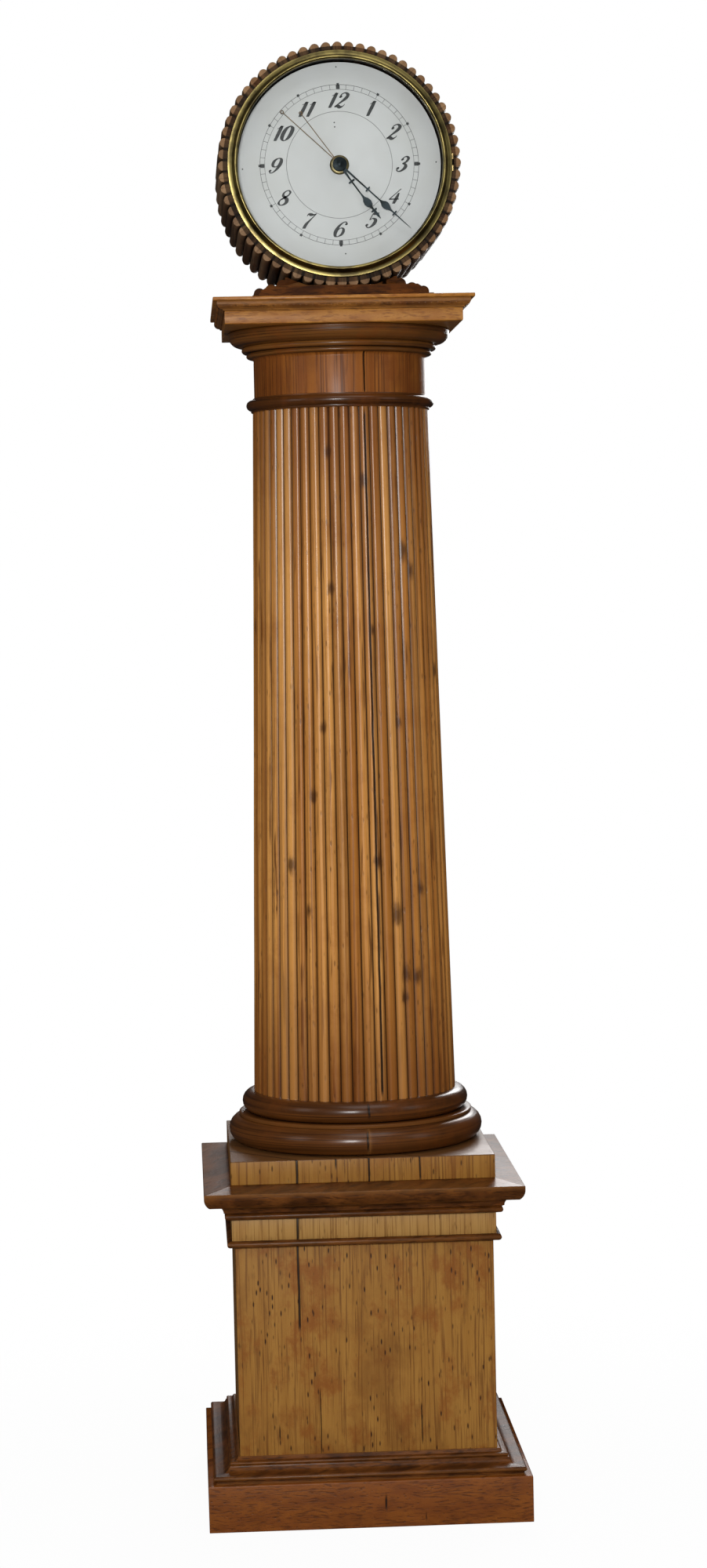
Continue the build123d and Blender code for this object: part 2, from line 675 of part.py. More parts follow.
def train_phases():
    phase = {"centre_pinion": 0.0, "centre_wheel": 0.0, "cannon": 0.0}
    phase["great"] = mesh_phase(12, 0.0, 72, line_angle(CENTRE, GREAT))
    phase["third_pinion"] = mesh_phase(64, 0.0, 8, line_angle(CENTRE, THIRD))
    phase["third_wheel"] = 0.0
    phase["escape_pinion"] = mesh_phase(60, 0.0, 8, line_angle(THIRD, ESCAPE))
    phase["minute_wheel"] = mesh_phase(20, 0.0, 60, line_angle(CENTRE, MINUTE_WHEEL))
    phase["minute_pinion"] = 0.0
    phase["hour_wheel"] = mesh_phase(16, 0.0, 64, line_angle(MINUTE_WHEEL, CENTRE))
    return phase


def wheels():
    phase = train_phases()
    y = (-60.0, -57.0)
    great = gear(72, 1.25, GREAT, y, phase["great"], 2.0) - crossings(37, 22, GREAT, y)
    click_post = rod(29.5, HEAD_Z + GREAT_Z + 0.0, 2.0, (-57, -51.6))
    great = great + pivots(GREAT, 4.0)
    save("great_wheel", great + click_post)
    y = (-75.0, -72.5)
    centre = gear(64, 1.0, CENTRE, y, 0.0, 2.0) - crossings(27, 8, CENTRE, y)
    centre = centre + gear(12, 1.25, CENTRE, (-64, -53), 0.0, 2.0, wheel=False)
    centre = centre + arbor(CENTRE, [(3.0, -95.4, -33.5), (1.2, -34, -30.4), (2.5, -138, -95)])
    centre = centre + gear(20, 0.8, CENTRE, (-107.5, -104), 0.0, 2.0, wheel=False)
    centre = centre + arbor(CENTRE, [(4.0, -133.8, -103)])
    save("centre_arbor", centre)
    y = (-88.0, -86.0)
    third = gear(60, 0.9, THIRD, y, 0.0, 1.5) - crossings(22.5, 6, THIRD, y, arm=4)
    third = third + gear(8, 1.0, THIRD, (-79, -69), phase["third_pinion"], 1.5, wheel=False)
    save("third_wheel", third + pivots(THIRD, 2.2))
    save("escape_wheel", escape_wheel(phase["escape_pinion"]))
    y = (-107.0, -104.5)
    minute = gear(60, 0.8, MINUTE_WHEEL, y, phase["minute_wheel"], 1.5)
    minute = minute - crossings(19.5, 9, MINUTE_WHEEL, y, arm=4)
    minute = minute + gear(16, 0.8, MINUTE_WHEEL, (-115, -104.5), 0.0, 1.5, wheel=False)
    minute = minute + arbor(MINUTE_WHEEL, [(3.0, -104.6, -99.4), (1.8, -116, -96.4)])
    save("minute_wheel", minute)
    y = (-114.0, -112.0)
    hour = gear(64, 0.8, CENTRE, y, phase["hour_wheel"], 4.07) - crossings(21, 9.5, CENTRE, y, arm=4)
    pipe = arbor(CENTRE, [(6.5, -132.2, -111.5)]) - arbor(CENTRE, [(4.07, -140, -100)])
    save("hour_wheel", hour + pipe)


def escape_wheel(phase):
    """Thirty pointed teeth that lean back from the direction of turning."""
    points = []
    for tooth in range(30):
        for share, reach in ((0.0, 16.4), (0.62, 16.4), (0.95, ESCAPE_R), (1.0, ESCAPE_R)):
            turn = math.radians(90 + 12 * (tooth + share))
            points.append((reach * math.cos(turn), HEAD_Z + ESCAPE_Z + reach * math.sin(turn)))
    wheel = slab(points, (-48, -46.4)) - crossings(13.5, 5, ESCAPE, (-48, -46.4), arm=3)
    wheel = wheel + gear(8, 0.9, ESCAPE, (-92, -82), phase, 1.5, wheel=False)
    return wheel + pivots(ESCAPE, 2.0)


def rope_pulley():
    """Spiked rope pulley with its ratchet, free on the great wheel's arbor."""
    x, z = GREAT[0], HEAD_Z + GREAT[1]
    body = rod(x, z, 37, (-51, -49)) + rod(x, z, 37, (-39, -37)) + rod(x, z, PULLEY_R - ROPE_R - 1, (-51, -37))
    points = []
    for tooth in range(24):
        for share, reach in ((0.0, 22.0), (0.9, 26.0), (1.0, 26.0)):
            turn = math.radians(15 * (tooth + share))
            points.append((x + reach * math.cos(turn), z + reach * math.sin(turn)))
    body = body + slab(points, (-55.5, -51))
    save("rope_pulley", body - rod(x, z, 4.0 + PIVOT_PLAY, (-60, -30)))


def click():
    """The click rides just outside the ratchet teeth, on a post of the great wheel."""
    x, z = 29.5, HEAD_Z + GREAT_Z
    points = [(x - 3.4, z - 3), (x + 3.4, z - 3), (x + 3.6, z + 3), (x + 1, z + 12), (x - 5.2, z + 16),
              (x - 5.8, z + 14), (x - 2.6, z + 9)]
    body = slab(points, (-55, -52)) - rod(x, z, 2.0 + PIVOT_PLAY, (-60, -50))
    save("click", body)


def plates():
    y_holes = (-140, 10)
    z = (HEAD_Z + PLATE_Z[0], HEAD_Z + PLATE_Z[1])
    pair = []
    for y in (FRONT_PLATE, BACK_PLATE):
        plate = block((-PLATE_X, PLATE_X), y, z)
        for centre in (GREAT, THIRD, ESCAPE):
            plate = plate - rod(centre[0], HEAD_Z + centre[1], 1.2 + PIVOT_PLAY, y_holes)
        pair.append(plate)
    front = pair[0] - rod(0, HEAD_Z, 3.0 + 0.5, y_holes)
    front = front - rod(MINUTE_WHEEL[0], HEAD_Z + MINUTE_WHEEL[1], 1.8 + PIVOT_PLAY, y_holes)
    front = front - rod(0, HEAD_Z + PALLET_Z, 1.2 + PIVOT_PLAY, y_holes)
    back = pair[1] - rod(0, HEAD_Z, 1.2 + PIVOT_PLAY, y_holes)
    back = back - rod(0, HEAD_Z + PALLET_Z, 3.2, y_holes)
    save("movement_plates", front, back)
    spots = [(sx * 42, HEAD_Z + z) for sx in (-1, 1) for z in (-103, 97)]
    pillars = [rod(x, z, 4.5, (FRONT_PLATE[1], BACK_PLATE[0])) for x, z in spots]
    save("movement_pillars", pillars)


def seatboard():
    top = HEAD_Z + PLATE_Z[0]
    board = block((-96, 96), (-110, -14), (top - SEAT_THICK, top))
    board = board & rod(0, HEAD_Z, HEAD_INNER_R, (-120, 0))
    for x in (-PULLEY_R, PULLEY_R):
        board = board - block((x - 5, x + 5), (PULLEY_Y - 8, PULLEY_Y + 8), (top - 20, top + 5))
    save("seatboard", board)


def suspension_cock():
    """A bracket on the back plate that carries the suspension and the rear pallet pivot."""
    z = HEAD_Z + PALLET_Z
    foot = block((-14, 14), (BACK_PLATE[1], BACK_PLATE[1] + 3), (z + 8, z + 21))
    arm = block((-7, 7), (BACK_PLATE[1], PENDULUM_Y + 7), (z + 15, z + 21))
    cheek = block((-7, 7), (PENDULUM_Y - 5, PENDULUM_Y + 5), (z + 7, z + 15))
    strap = block((-10, 10), (-22, -19), (z - 8, z + 15.5))
    cock = foot + arm + cheek + strap + block((-10, 10), (BACK_PLATE[1], -19), (z + 15, z + 21))
    spring = block((-3, 3), (PENDULUM_Y - 0.2, PENDULUM_Y + 0.2), (z + 0.4, z + 7))
    hole = rod(0, z, 1.2 + PIVOT_PLAY, (-30, -10))
    save("suspension_cock", cock + spring - hole)


def pallets():
    """Anchor with two arms, its arbor, and the crutch that leads the pendulum."""
    z = HEAD_Z + PALLET_Z
    right = [(0, z + 5), (9, z + 1), (17.6, z - 9.4), (17.6, z - 13.4), (15.6, z - 13.0), (8, z - 5.5), (0, z - 4)]
    left = [(-x, height) for x, height in reversed(right) if x > 0]
    anchor = slab(right + left, (-49, -45.5))
    anchor = anchor + arbor(PALLET, [(2.0, -95, -23), (1.2, -98.6, -19.5)])
    crutch = block((-1.5, 1.5), (-26.5, -24.5), (z - 112, z))
    crutch = crutch + rod(0, z, 4.0, (-28, -23.5))
    pin_z = (z - 112, z - 108)
    crutch = crutch + block((-5, 5), (-26.5, -24.5), pin_z)
    for side in (-1, 1):
        x = (3.0, 5.0) if side > 0 else (-5.0, -3.0)
        crutch = crutch + block(x, (-26.5, PENDULUM_Y + 5), pin_z)
    save("pallet_anchor", anchor + crutch)


def pendulum():
    top = HEAD_Z + PALLET_Z
    bob_z = top - PENDULUM_LENGTH
    strip = block((-3, 3), (PENDULUM_Y - 0.2, PENDULUM_Y + 0.2), (top - 16, top - 0.4))
    save("suspension_spring", strip)
    chop = block((-5, 5), (PENDULUM_Y - 3, PENDULUM_Y + 3), (top - 28, top - 16))
    save("pendulum_rod", chop + post(0, PENDULUM_Y, 2.2, (bob_z - 78, top - 27)))
    lens = outline((0, -12), (BOB_R * 0.62, -9, BOB_R, 0), (BOB_R * 0.62, 9, 0, 12))
    bob = Pos(0, PENDULUM_Y, bob_z) * Rot(90, 0, 0) * revolve(lens, Axis.Z, 360)
    save("pendulum_bob", bob - post(0, PENDULUM_Y, 2.2, (bob_z - 80, bob_z + 80)))
    nut = post(0, PENDULUM_Y, 9, (bob_z - 57, bob_z - 50.3)) - post(0, PENDULUM_Y, 2.2, (bob_z - 80, bob_z))
    save("rating_nut", nut)


def weights():
    x = -PULLEY_R
    y = PULLEY_Y
    low, high = WEIGHT_Z
    body = post(x, y, WEIGHT_R, (low, high)) + post(x, y, 3, (high, high + 16))
    eye = Pos(x, y, high + 22) * Rot(90, 0, 0) * Torus(7, 1.8)
    save("weight", body + eye)
    start = HEAD_Z + GREAT_Z
    save("weight_rope", post(x, y, ROPE_R, (high + 31.2, start)))
    ring = Pos(-x, y, COUNTER_Z) * Rot(90, 0, 0) * Torus(12, 4.5)
    save("counterweight", ring)
    save("counter_rope", post(-x, y, ROPE_R, (COUNTER_Z + 16.8, start)))
    loop = Pos(0, y, start) * Rot(90, 0, 0) * Torus(PULLEY_R, ROPE_R)
    save("rope_over_pulley", loop & block((-60, 60), (y - 9, y + 9), (start, start + 60)))


def main():
    os.makedirs("parts", exist_ok=True)
    plinth()
    base_moulding()
    die()
    corner_blocks()
    frieze()
    cornice()
    column_block()
    column_base()
    shaft()
    neck_and_capital()
    abacus()
    head_plinth()
    drum_shell()
    drum_reeds()
    drum_rings()
    back_cover()
    hinges()
    dial()
    bezel()
    hands()
    wheels()
    rope_pulley()
    click()
    plates()
    seatboard()
    suspension_cock()
    pallets()
    pendulum()
    weights()


main()
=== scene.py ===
import math
import bmesh
import bpy
import numpy as np
from mathutils import Matrix, Vector


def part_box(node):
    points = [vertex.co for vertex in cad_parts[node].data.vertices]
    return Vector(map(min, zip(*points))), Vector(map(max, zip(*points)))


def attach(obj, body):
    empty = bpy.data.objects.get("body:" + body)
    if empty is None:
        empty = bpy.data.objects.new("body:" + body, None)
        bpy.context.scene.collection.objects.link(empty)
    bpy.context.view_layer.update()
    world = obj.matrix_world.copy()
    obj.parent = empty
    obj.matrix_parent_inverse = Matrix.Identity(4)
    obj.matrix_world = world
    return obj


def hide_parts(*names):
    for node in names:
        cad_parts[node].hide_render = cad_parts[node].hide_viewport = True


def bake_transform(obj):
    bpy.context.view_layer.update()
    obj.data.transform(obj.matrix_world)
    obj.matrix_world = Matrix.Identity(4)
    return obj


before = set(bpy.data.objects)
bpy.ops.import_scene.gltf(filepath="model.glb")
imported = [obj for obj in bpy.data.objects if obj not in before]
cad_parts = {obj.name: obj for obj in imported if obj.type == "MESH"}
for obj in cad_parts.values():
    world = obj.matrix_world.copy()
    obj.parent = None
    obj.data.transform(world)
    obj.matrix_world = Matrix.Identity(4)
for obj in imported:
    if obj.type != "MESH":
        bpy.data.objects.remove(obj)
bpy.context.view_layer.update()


# ---- small tools ----
class Wire:  # a socket that can stand in a sum
    def __init__(self, tree, socket):
        self.tree = tree
        self.socket = socket

    def make(self, operation, *values):
        return self.tree.add("ShaderNodeMath", {"operation": operation}, dict(enumerate(values)))

    def __add__(self, other):
        return self.make("ADD", self, other)

    def __sub__(self, other):
        return self.make("SUBTRACT", self, other)

    def __rsub__(self, other):
        return self.make("SUBTRACT", other, self)

    def __mul__(self, other):
        return self.make("MULTIPLY", self, other)

    def __truediv__(self, other):
        return self.make("DIVIDE", self, other)

    def __pow__(self, other):
        return self.make("POWER", self, other)

    def __neg__(self):
        return self.make("MULTIPLY", self, -1.0)

    def __abs__(self):
        return self.make("ABSOLUTE", self)

    __radd__ = __add__
    __rmul__ = __mul__

    def most(self, other):
        return self.make("MAXIMUM", self, other)

    def sine(self):
        return self.make("SINE", self)

    def cosine(self):
        return self.make("COSINE", self)

    def step(self, low, high, start=0.0, end=1.0):  # smooth rise from start at low to end at high
        settings = {"interpolation_type": "SMOOTHSTEP"}
        sockets = {0: self, 1: low, 2: high, 3: start, 4: end}
        return self.tree.add("ShaderNodeMapRange", settings, sockets)


class Tree:  # nodes are added by type, settings and socket values
    def __init__(self, nodeTree):
        self.nodes = nodeTree.nodes
        self.links = nodeTree.links

    def add(self, kind, settings=None, sockets=None, out=0):
        node = self.nodes.new(kind)
        for name, value in (settings or {}).items():
            if name == "stops":
                self.fillRamp(node.color_ramp, value)
            else:
                setattr(node, name, value)
        for key, value in (sockets or {}).items():
            target = node.inputs[key]
            for one in value if isinstance(value, list) else [value]:
                if isinstance(one, Wire):
                    self.links.new(one.socket, target)
                else:
                    target.default_value = one
        return Wire(self, node.outputs[out])

    def fillRamp(self, ramp, stops):
        while len(ramp.elements) < len(stops):
            ramp.elements.new(0.5)
        for element, (place, shade) in zip(ramp.elements, stops):
            element.position = place
            element.color = (*shade, 1) if isinstance(shade, tuple) else (shade, shade, shade, 1)

    def point(self, x, y, z):
        return self.add("ShaderNodeCombineXYZ", {}, {0: x, 1: y, 2: z})

    def parts(self, vector):
        node = self.add("ShaderNodeSeparateXYZ", {}, {0: vector}).socket.node
        return [Wire(self, socket) for socket in node.outputs]

    def noise(self, x, y, z, detail=3.0, rough=0.55):
        place = self.point(x, y, z)
        sockets = {"Vector": place, "Scale": 1.0, "Detail": detail, "Roughness": rough}
        return self.add("ShaderNodeTexNoise", {}, sockets)


class Finish(Tree):  # a material with one principled shader
    def __init__(self, name, **sockets):
        self.material = bpy.data.materials.new(name)
        self.material.use_nodes = True
        super().__init__(self.material.node_tree)
        self.shader = next(n for n in self.nodes if n.type == "BSDF_PRINCIPLED")
        for key, value in sockets.items():
            self.shader.inputs[key.replace("_", " ")].default_value = value

    def feed(self, name, wire):
        self.links.new(wire.socket, self.shader.inputs[name])

    def place(self):
        return self.parts(self.add("ShaderNodeTexCoord", {}, {}, 3))

    def mix(self, share, first, second, mode="MIX"):
        first = (*first, 1) if isinstance(first, tuple) else first
        second = (*second, 1) if isinstance(second, tuple) else second
        settings = {"data_type": "RGBA", "blend_type": mode}
        return self.add("ShaderNodeMix", settings, {0: share, 6: first, 7: second}, 2)

    def relief(self, height, distance, strength=1.0):
        sockets = {"Height": height, "Distance": distance, "Strength": strength}
        self.feed("Normal", self.add("ShaderNodeBump", {}, sockets))


class Geo(Tree):  # a geometry tree with named inputs
    kinds = {int: "NodeSocketInt", float: "NodeSocketFloat", "material": "NodeSocketMaterial"}

    def __init__(self, name, **inputs):
        self.group = bpy.data.node_groups.new(name, "GeometryNodeTree")
        super().__init__(self.group)
        self.keys = {}
        self.wires = {}
        face = self.group.interface
        face.new_socket(name="Mesh", in_out="INPUT", socket_type="NodeSocketGeometry")
        for key, value in inputs.items():
            kind = self.kinds["material" if value is None else type(value)]
            self.keys[key] = face.new_socket(name=key, in_out="INPUT", socket_type=kind).identifier
        face.new_socket(name="Mesh", in_out="OUTPUT", socket_type="NodeSocketGeometry")
        entry = self.nodes.new("NodeGroupInput")
        for key in inputs:
            self.wires[key] = Wire(self, entry.outputs[key])
        self.defaults = inputs

    def __getitem__(self, key):
        return self.wires[key]

    def finish(self, wire):
        real = self.add("GeometryNodeRealizeInstances", {}, {0: wire})
        smooth = self.add("GeometryNodeSetShadeSmooth", {}, {0: real})
        dressed = self.add("GeometryNodeSetMaterial", {}, {0: smooth, "Material": self["material"]})
        way = self.nodes.new("NodeGroupOutput")
        self.links.new(dressed.socket, way.inputs[0])

    def mesh(self, **values):  # the tree's result as a plain mesh
        holder = bpy.data.objects.new("holder", bpy.data.meshes.new("holder"))
        bpy.context.scene.collection.objects.link(holder)
        modifier = holder.modifiers.new("make", "NODES")
        modifier.node_group = self.group
        for key, value in {**self.defaults, **values}.items():
            if value is not None:
                modifier[self.keys[key]] = value
        bpy.context.view_layer.update()
        ready = holder.evaluated_get(bpy.context.evaluated_depsgraph_get())
        mesh = bpy.data.meshes.new_from_object(ready)
        bpy.data.objects.remove(holder)
        return mesh


def joined(meshes):
    bm = bmesh.new()
    for mesh in meshes:
        bm.from_mesh(mesh)
    whole = meshes[0].copy()
    bm.to_mesh(whole)
    bm.free()
    return whole


def turnedMesh(mesh, matrix):
    mesh.transform(matrix)
    return mesh


def piece(name, mesh, material, body, replaces=(), sharp=40):
    obj = bpy.data.objects.new(name, mesh)
    bpy.context.scene.collection.objects.link(obj)
    mesh.materials.clear()
    mesh.materials.append(material)
    mesh.shade_smooth()
    if sharp:
        mesh.set_sharp_from_angle(angle=math.radians(sharp))
    if body:
        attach(obj, body)
    if replaces:
        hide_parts(*replaces)
    return obj


def rawMesh(verts, faces, name="shape"):
    mesh = bpy.data.meshes.new(name)
    mesh.from_pydata([tuple(v) for v in verts], [], faces)
    mesh.validate()
    return mesh


def path(start, *moves):  # points along lines and arcs, in millimetres, given back in metres
    points = [Vector(start)]
    for move in moves:
        end = Vector(move[-2:])
        if len(move) == 4:
            points += arc(points[-1], Vector(move[:2]), end)
        points.append(end)
    return [(p.x / 1000, p.y / 1000) for p in points]


def arc(a, b, c, steps=10):  # points between a and c on the circle through b
    d = 2 * (a.x * (b.y - c.y) + b.x * (c.y - a.y) + c.x * (a.y - b.y))
    ux = (a.length_squared * (b.y - c.y) + b.length_squared * (c.y - a.y) + c.length_squared * (a.y - b.y)) / d
    uy = (a.length_squared * (c.x - b.x) + b.length_squared * (a.x - c.x) + c.length_squared * (b.x - a.x)) / d
    centre = Vector((ux, uy))
    angles = [math.atan2(p.y - uy, p.x - ux) for p in (a, b, c)]
    sweep = (angles[2] - angles[0]) % (2 * math.pi)
    if (angles[1] - angles[0]) % (2 * math.pi) > sweep:
        sweep -= 2 * math.pi
    radius = (a - centre).length
    turns = [angles[0] + sweep * i / steps for i in range(1, steps)]
    return [centre + radius * Vector((math.cos(t), math.sin(t))) for t in turns]


def lathe(outline, start=0.0, end=360.0, steps=240):  # turned about Z from an outline of (radius, z)
    whole = end - start >= 360
    count = steps if whole else max(8, int(steps * (end - start) / 360)) + 1
    verts, faces, size = [], [], len(outline)
    for i in range(count):
        turn = math.radians(start + (end - start) * i / (count if whole else count - 1))
        verts += [(r * math.sin(turn), -r * math.cos(turn), z) for r, z in outline]
    for i in range(count if whole else count - 1):
        a, b = i * size, ((i + 1) % count) * size
        faces += [(a + j, b + j, b + (j + 1) % size, a + (j + 1) % size) for j in range(size)]
    if not whole:
        faces += [tuple(range(size))[::-1], tuple((count - 1) * size + j for j in range(size))]
    mesh = rawMesh(verts, faces)
    return outward(mesh)


def outward(mesh):
    bm = bmesh.new()
    bm.from_mesh(mesh)
    bmesh.ops.remove_doubles(bm, verts=bm.verts, dist=1e-6)
    bmesh.ops.recalc_face_normals(bm, faces=bm.faces)
    bm.to_mesh(mesh)
    bm.free()
    return mesh


def plate(outline, low, high):  # a flat plate cut to an outline of (x, z)
    flat = [Vector(p) for p in outline]
    size = len(flat)
    verts = [(p[0], y, p[1]) for y in (low, high) for p in flat]
    faces = [tuple(range(size)), tuple(range(2 * size - 1, size - 1, -1))]
    faces += [(i, size + i, size + (i + 1) % size, (i + 1) % size) for i in range(size)]
    return outward(rawMesh(verts, faces))


def softened(node, width, segments=2):  # a copy of a CAD node with its edges taken off
    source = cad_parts[node]
    bm = bmesh.new()
    bm.from_mesh(source.data)
    bmesh.ops.remove_doubles(bm, verts=bm.verts, dist=1e-5)
    bmesh.ops.dissolve_limit(bm, angle_limit=math.radians(1), verts=bm.verts, edges=bm.edges)
    edges = [e for e in bm.edges if len(e.link_faces) == 2 and e.calc_face_angle(0) > math.radians(35)]
    bmesh.ops.bevel(bm, geom=edges, offset=width, segments=segments, affect="EDGES", profile=0.6,
                    clamp_overlap=True)
    bmesh.ops.triangulate(bm, faces=[f for f in bm.faces if len(f.verts) > 4])
    mesh = bpy.data.meshes.new(node)
    bm.to_mesh(mesh)
    bm.free()
    return mesh


def dress(material, *nodes):
    for node in nodes:
        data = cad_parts[node].data
        data.materials.clear()
        data.materials.append(material)


def levels(node):
    low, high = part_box(node)
    return low.z * 1000, high.z * 1000


# ---- camera, light and floor ----
view = {"place": (-0.2357, -4.6897, 1.2855), "turn": -2.97, "tip": -3.25, "roll": -1.23, "lens": 50.17}


def setCamera():
    data = bpy.data.cameras.new("camera")
    data.sensor_fit = "VERTICAL"
    data.sensor_height = 24.0
    data.lens = view["lens"]
    data.clip_end = 100
    obj = bpy.data.objects.new("camera", data)
    bpy.context.scene.collection.objects.link(obj)
    turn, tip, roll = (math.radians(view[k]) for k in ("turn", "tip", "roll"))
    spin = Matrix.Rotation(turn, 4, "Z") @ Matrix.Rotation(math.pi / 2 + tip, 4, "X") @ Matrix.Rotation(roll, 4, "Z")
    obj.matrix_world = Matrix.Translation(view["place"]) @ spin
    bpy.context.scene.camera = obj


lamps = {
    "front": {"place": (-0.55, -4.3, 1.75), "size": (0.8, 0.8), "watts": 106, "aim": (0, 0, 1.2), "shine": 0.6},
    "top": {"place": (0.5, -1.6, 4.6), "size": (2.4, 2.4), "watts": 38, "aim": (0, 0, 1.0), "shine": 0.06},
    "left": {"place": (-3.2, -2.0, 2.4), "size": (1.2, 2.0), "watts": 13, "aim": (0, 0, 1.1), "shine": 0.2},
    "right": {"place": (3.2, -2.0, 2.2), "size": (1.2, 2.0), "watts": 9, "aim": (0, 0, 1.1), "shine": 0.15},
    "back": {"place": (0.8, 3.6, 2.6), "size": (2.0, 2.0), "watts": 110, "aim": (0, 0, 1.0), "shine": 0.0},
}


def setLight():
    for name, lamp in lamps.items():
        data = bpy.data.lights.new(name, "AREA")
        data.shape = "RECTANGLE"
        data.size, data.size_y = lamp["size"]
        data.energy = lamp["watts"]
        data.specular_factor = lamp["shine"]
        obj = bpy.data.objects.new(name, data)
        bpy.context.scene.collection.objects.link(obj)
        aim = Vector(lamp["aim"]) - Vector(lamp["place"])
        obj.matrix_world = Matrix.Translation(lamp["place"]) @ aim.to_track_quat("-Z", "Y").to_matrix().to_4x4()
    world = bpy.data.worlds.new("room")
    bpy.context.scene.world = world
    world.use_nodes = True
    tree = Tree(world.node_tree)
    tree.nodes.clear()
    seen = tree.add("ShaderNodeLightPath")  # the room is white to look at, softer as light and dark in a gloss
    shiny = Wire(tree, seen.socket.node.outputs["Is Glossy Ray"])
    soft = tree.add("ShaderNodeBackground", {}, {"Color": (1, 0.985, 0.96, 1), "Strength": 0.21 - shiny * 0.19})
    white = tree.add("ShaderNodeBackground", {}, {"Color": (1, 1, 1, 1), "Strength": 1.0})
    both = tree.add("ShaderNodeMixShader", {}, {0: seen, 1: soft, 2: white})
    out = tree.nodes.new("ShaderNodeOutputWorld")
    tree.links.new(both.socket, out.inputs[0])
    bpy.context.scene.view_settings.view_transform = "Standard"


def setFloor():
    verts = [(0, 0, 0)] + [(3 * math.cos(a * math.pi / 32), 3 * math.sin(a * math.pi / 32), 0) for a in range(64)]
    mesh = rawMesh(verts, [(0, i, i % 64 + 1) for i in range(1, 65)])
    obj = bpy.data.objects.new("floor", mesh)
    bpy.context.scene.collection.objects.link(obj)
    paper = Finish("floorPaper", Base_Color=(0.80, 0.80, 0.80, 1), Roughness=0.9, Specular_IOR_Level=0.1)
    x, y, z = paper.place()
    away = (x * x + y * y) ** 0.5
    seen = paper.add("ShaderNodeLightPath")
    glow = paper.add("ShaderNodeEmission", {}, {"Color": (1, 1, 1, 1), "Strength": 1.0})
    clear = paper.add("ShaderNodeBsdfTransparent", {}, {"Color": (1, 1, 1, 1)})
    lit = paper.add("ShaderNodeMixShader", {}, {0: seen * 0.96, 1: Wire(paper, paper.shader.outputs[0]), 2: glow})
    shiny = Wire(paper, seen.socket.node.outputs["Is Glossy Ray"])
    gone = away.step(0.35, 1.3)
    both = paper.add("ShaderNodeMixShader", {}, {0: gone + shiny * (1.0 - gone), 1: lit, 2: clear})
    out = next(n for n in paper.nodes if n.type == "OUTPUT_MATERIAL")
    paper.links.new(both.socket, out.inputs[0])
    mesh.materials.append(paper.material)


# ---- wood ----
tones = {  # light and dark wood, grain line, roughness and sheen
    "amber": ((0.7, 0.335, 0.086), (0.44, 0.165, 0.026), (0.1, 0.028, 0.005), 0.36, 0.2),
    "cherry": ((0.36, 0.125, 0.017), (0.19, 0.05, 0.006), (0.06, 0.016, 0.003), 0.44, 0.2),
    "honey": ((0.4, 0.2, 0.04), (0.26, 0.108, 0.016), (0.11, 0.034, 0.006), 0.48, 0.2),
    "straw": ((0.47, 0.27, 0.08), (0.37, 0.185, 0.046), (0.16, 0.065, 0.012), 0.48, 0.2),
    "fascia": ((0.45, 0.195, 0.03), (0.3, 0.105, 0.012), (0.15, 0.045, 0.006), 0.46, 0.2),
    "carved": ((0.3, 0.115, 0.018), (0.12, 0.04, 0.007), (0.03, 0.01, 0.003), 0.5, 0.2),
    "auburn": ((0.15, 0.048, 0.008), (0.06, 0.018, 0.003), (0.02, 0.006, 0.002), 0.4, 0.12),
    "chestnut": ((0.27, 0.105, 0.02), (0.11, 0.038, 0.007), (0.016, 0.005, 0.002), 0.34, 0.2),
    "mahogany": ((0.165, 0.054, 0.01), (0.06, 0.019, 0.004), (0.016, 0.005, 0.002), 0.34, 0.2),
    "umber": ((0.11, 0.034, 0.0055), (0.04, 0.012, 0.003), (0.014, 0.005, 0.002), 0.55, 0.05),
    "russet": ((0.225, 0.066, 0.006), (0.14, 0.036, 0.004), (0.05, 0.013, 0.002), 0.46, 0.2),
    "dusk": ((0.29, 0.18, 0.095), (0.09, 0.044, 0.018), (0.018, 0.009, 0.004), 0.6, 0.2),
    "soot": ((0.12, 0.068, 0.032), (0.03, 0.016, 0.008), (0.008, 0.004, 0.002), 0.6, 0.08),
    "bare": ((0.52, 0.36, 0.2), (0.4, 0.25, 0.12), (0.26, 0.14, 0.06), 0.7, 0.2),
}
rust = (0.215, 0.055, 0.006)  # where the old varnish has gone red

shaftKnots = [  # degrees round from the front, height, size
    (-11.5, 1.490, 0.0050), (11.0, 1.449, 0.0060), (-11.0, 1.300, 0.0055), (14.5, 1.240, 0.0040),
    (38.0, 1.350, 0.0075), (44.0, 1.322, 0.0060), (-17.0, 1.106, 0.0050), (-24.0, 1.010, 0.0055),
    (30.0, 1.110, 0.0045), (14.0, 0.917, 0.0065), (-40.0, 0.912, 0.0060), (43.0, 0.875, 0.0055),
    (-28.0, 0.850, 0.0045), (25.5, 0.842, 0.0085), (30.0, 0.757, 0.0070), (38.0, 0.752, 0.0060),
    (28.5, 0.724, 0.0060), (70.0, 1.180, 0.0070), (96.0, 0.860, 0.0080), (118.0, 1.390, 0.0070),
    (-82.0, 1.250, 0.0070), (-104.0, 0.790, 0.0080), (-126.0, 1.040, 0.0070), (160.0, 1.210, 0.0075),
    (-165.0, 0.930, 0.0080), (-178.0, 1.360, 0.0070)]


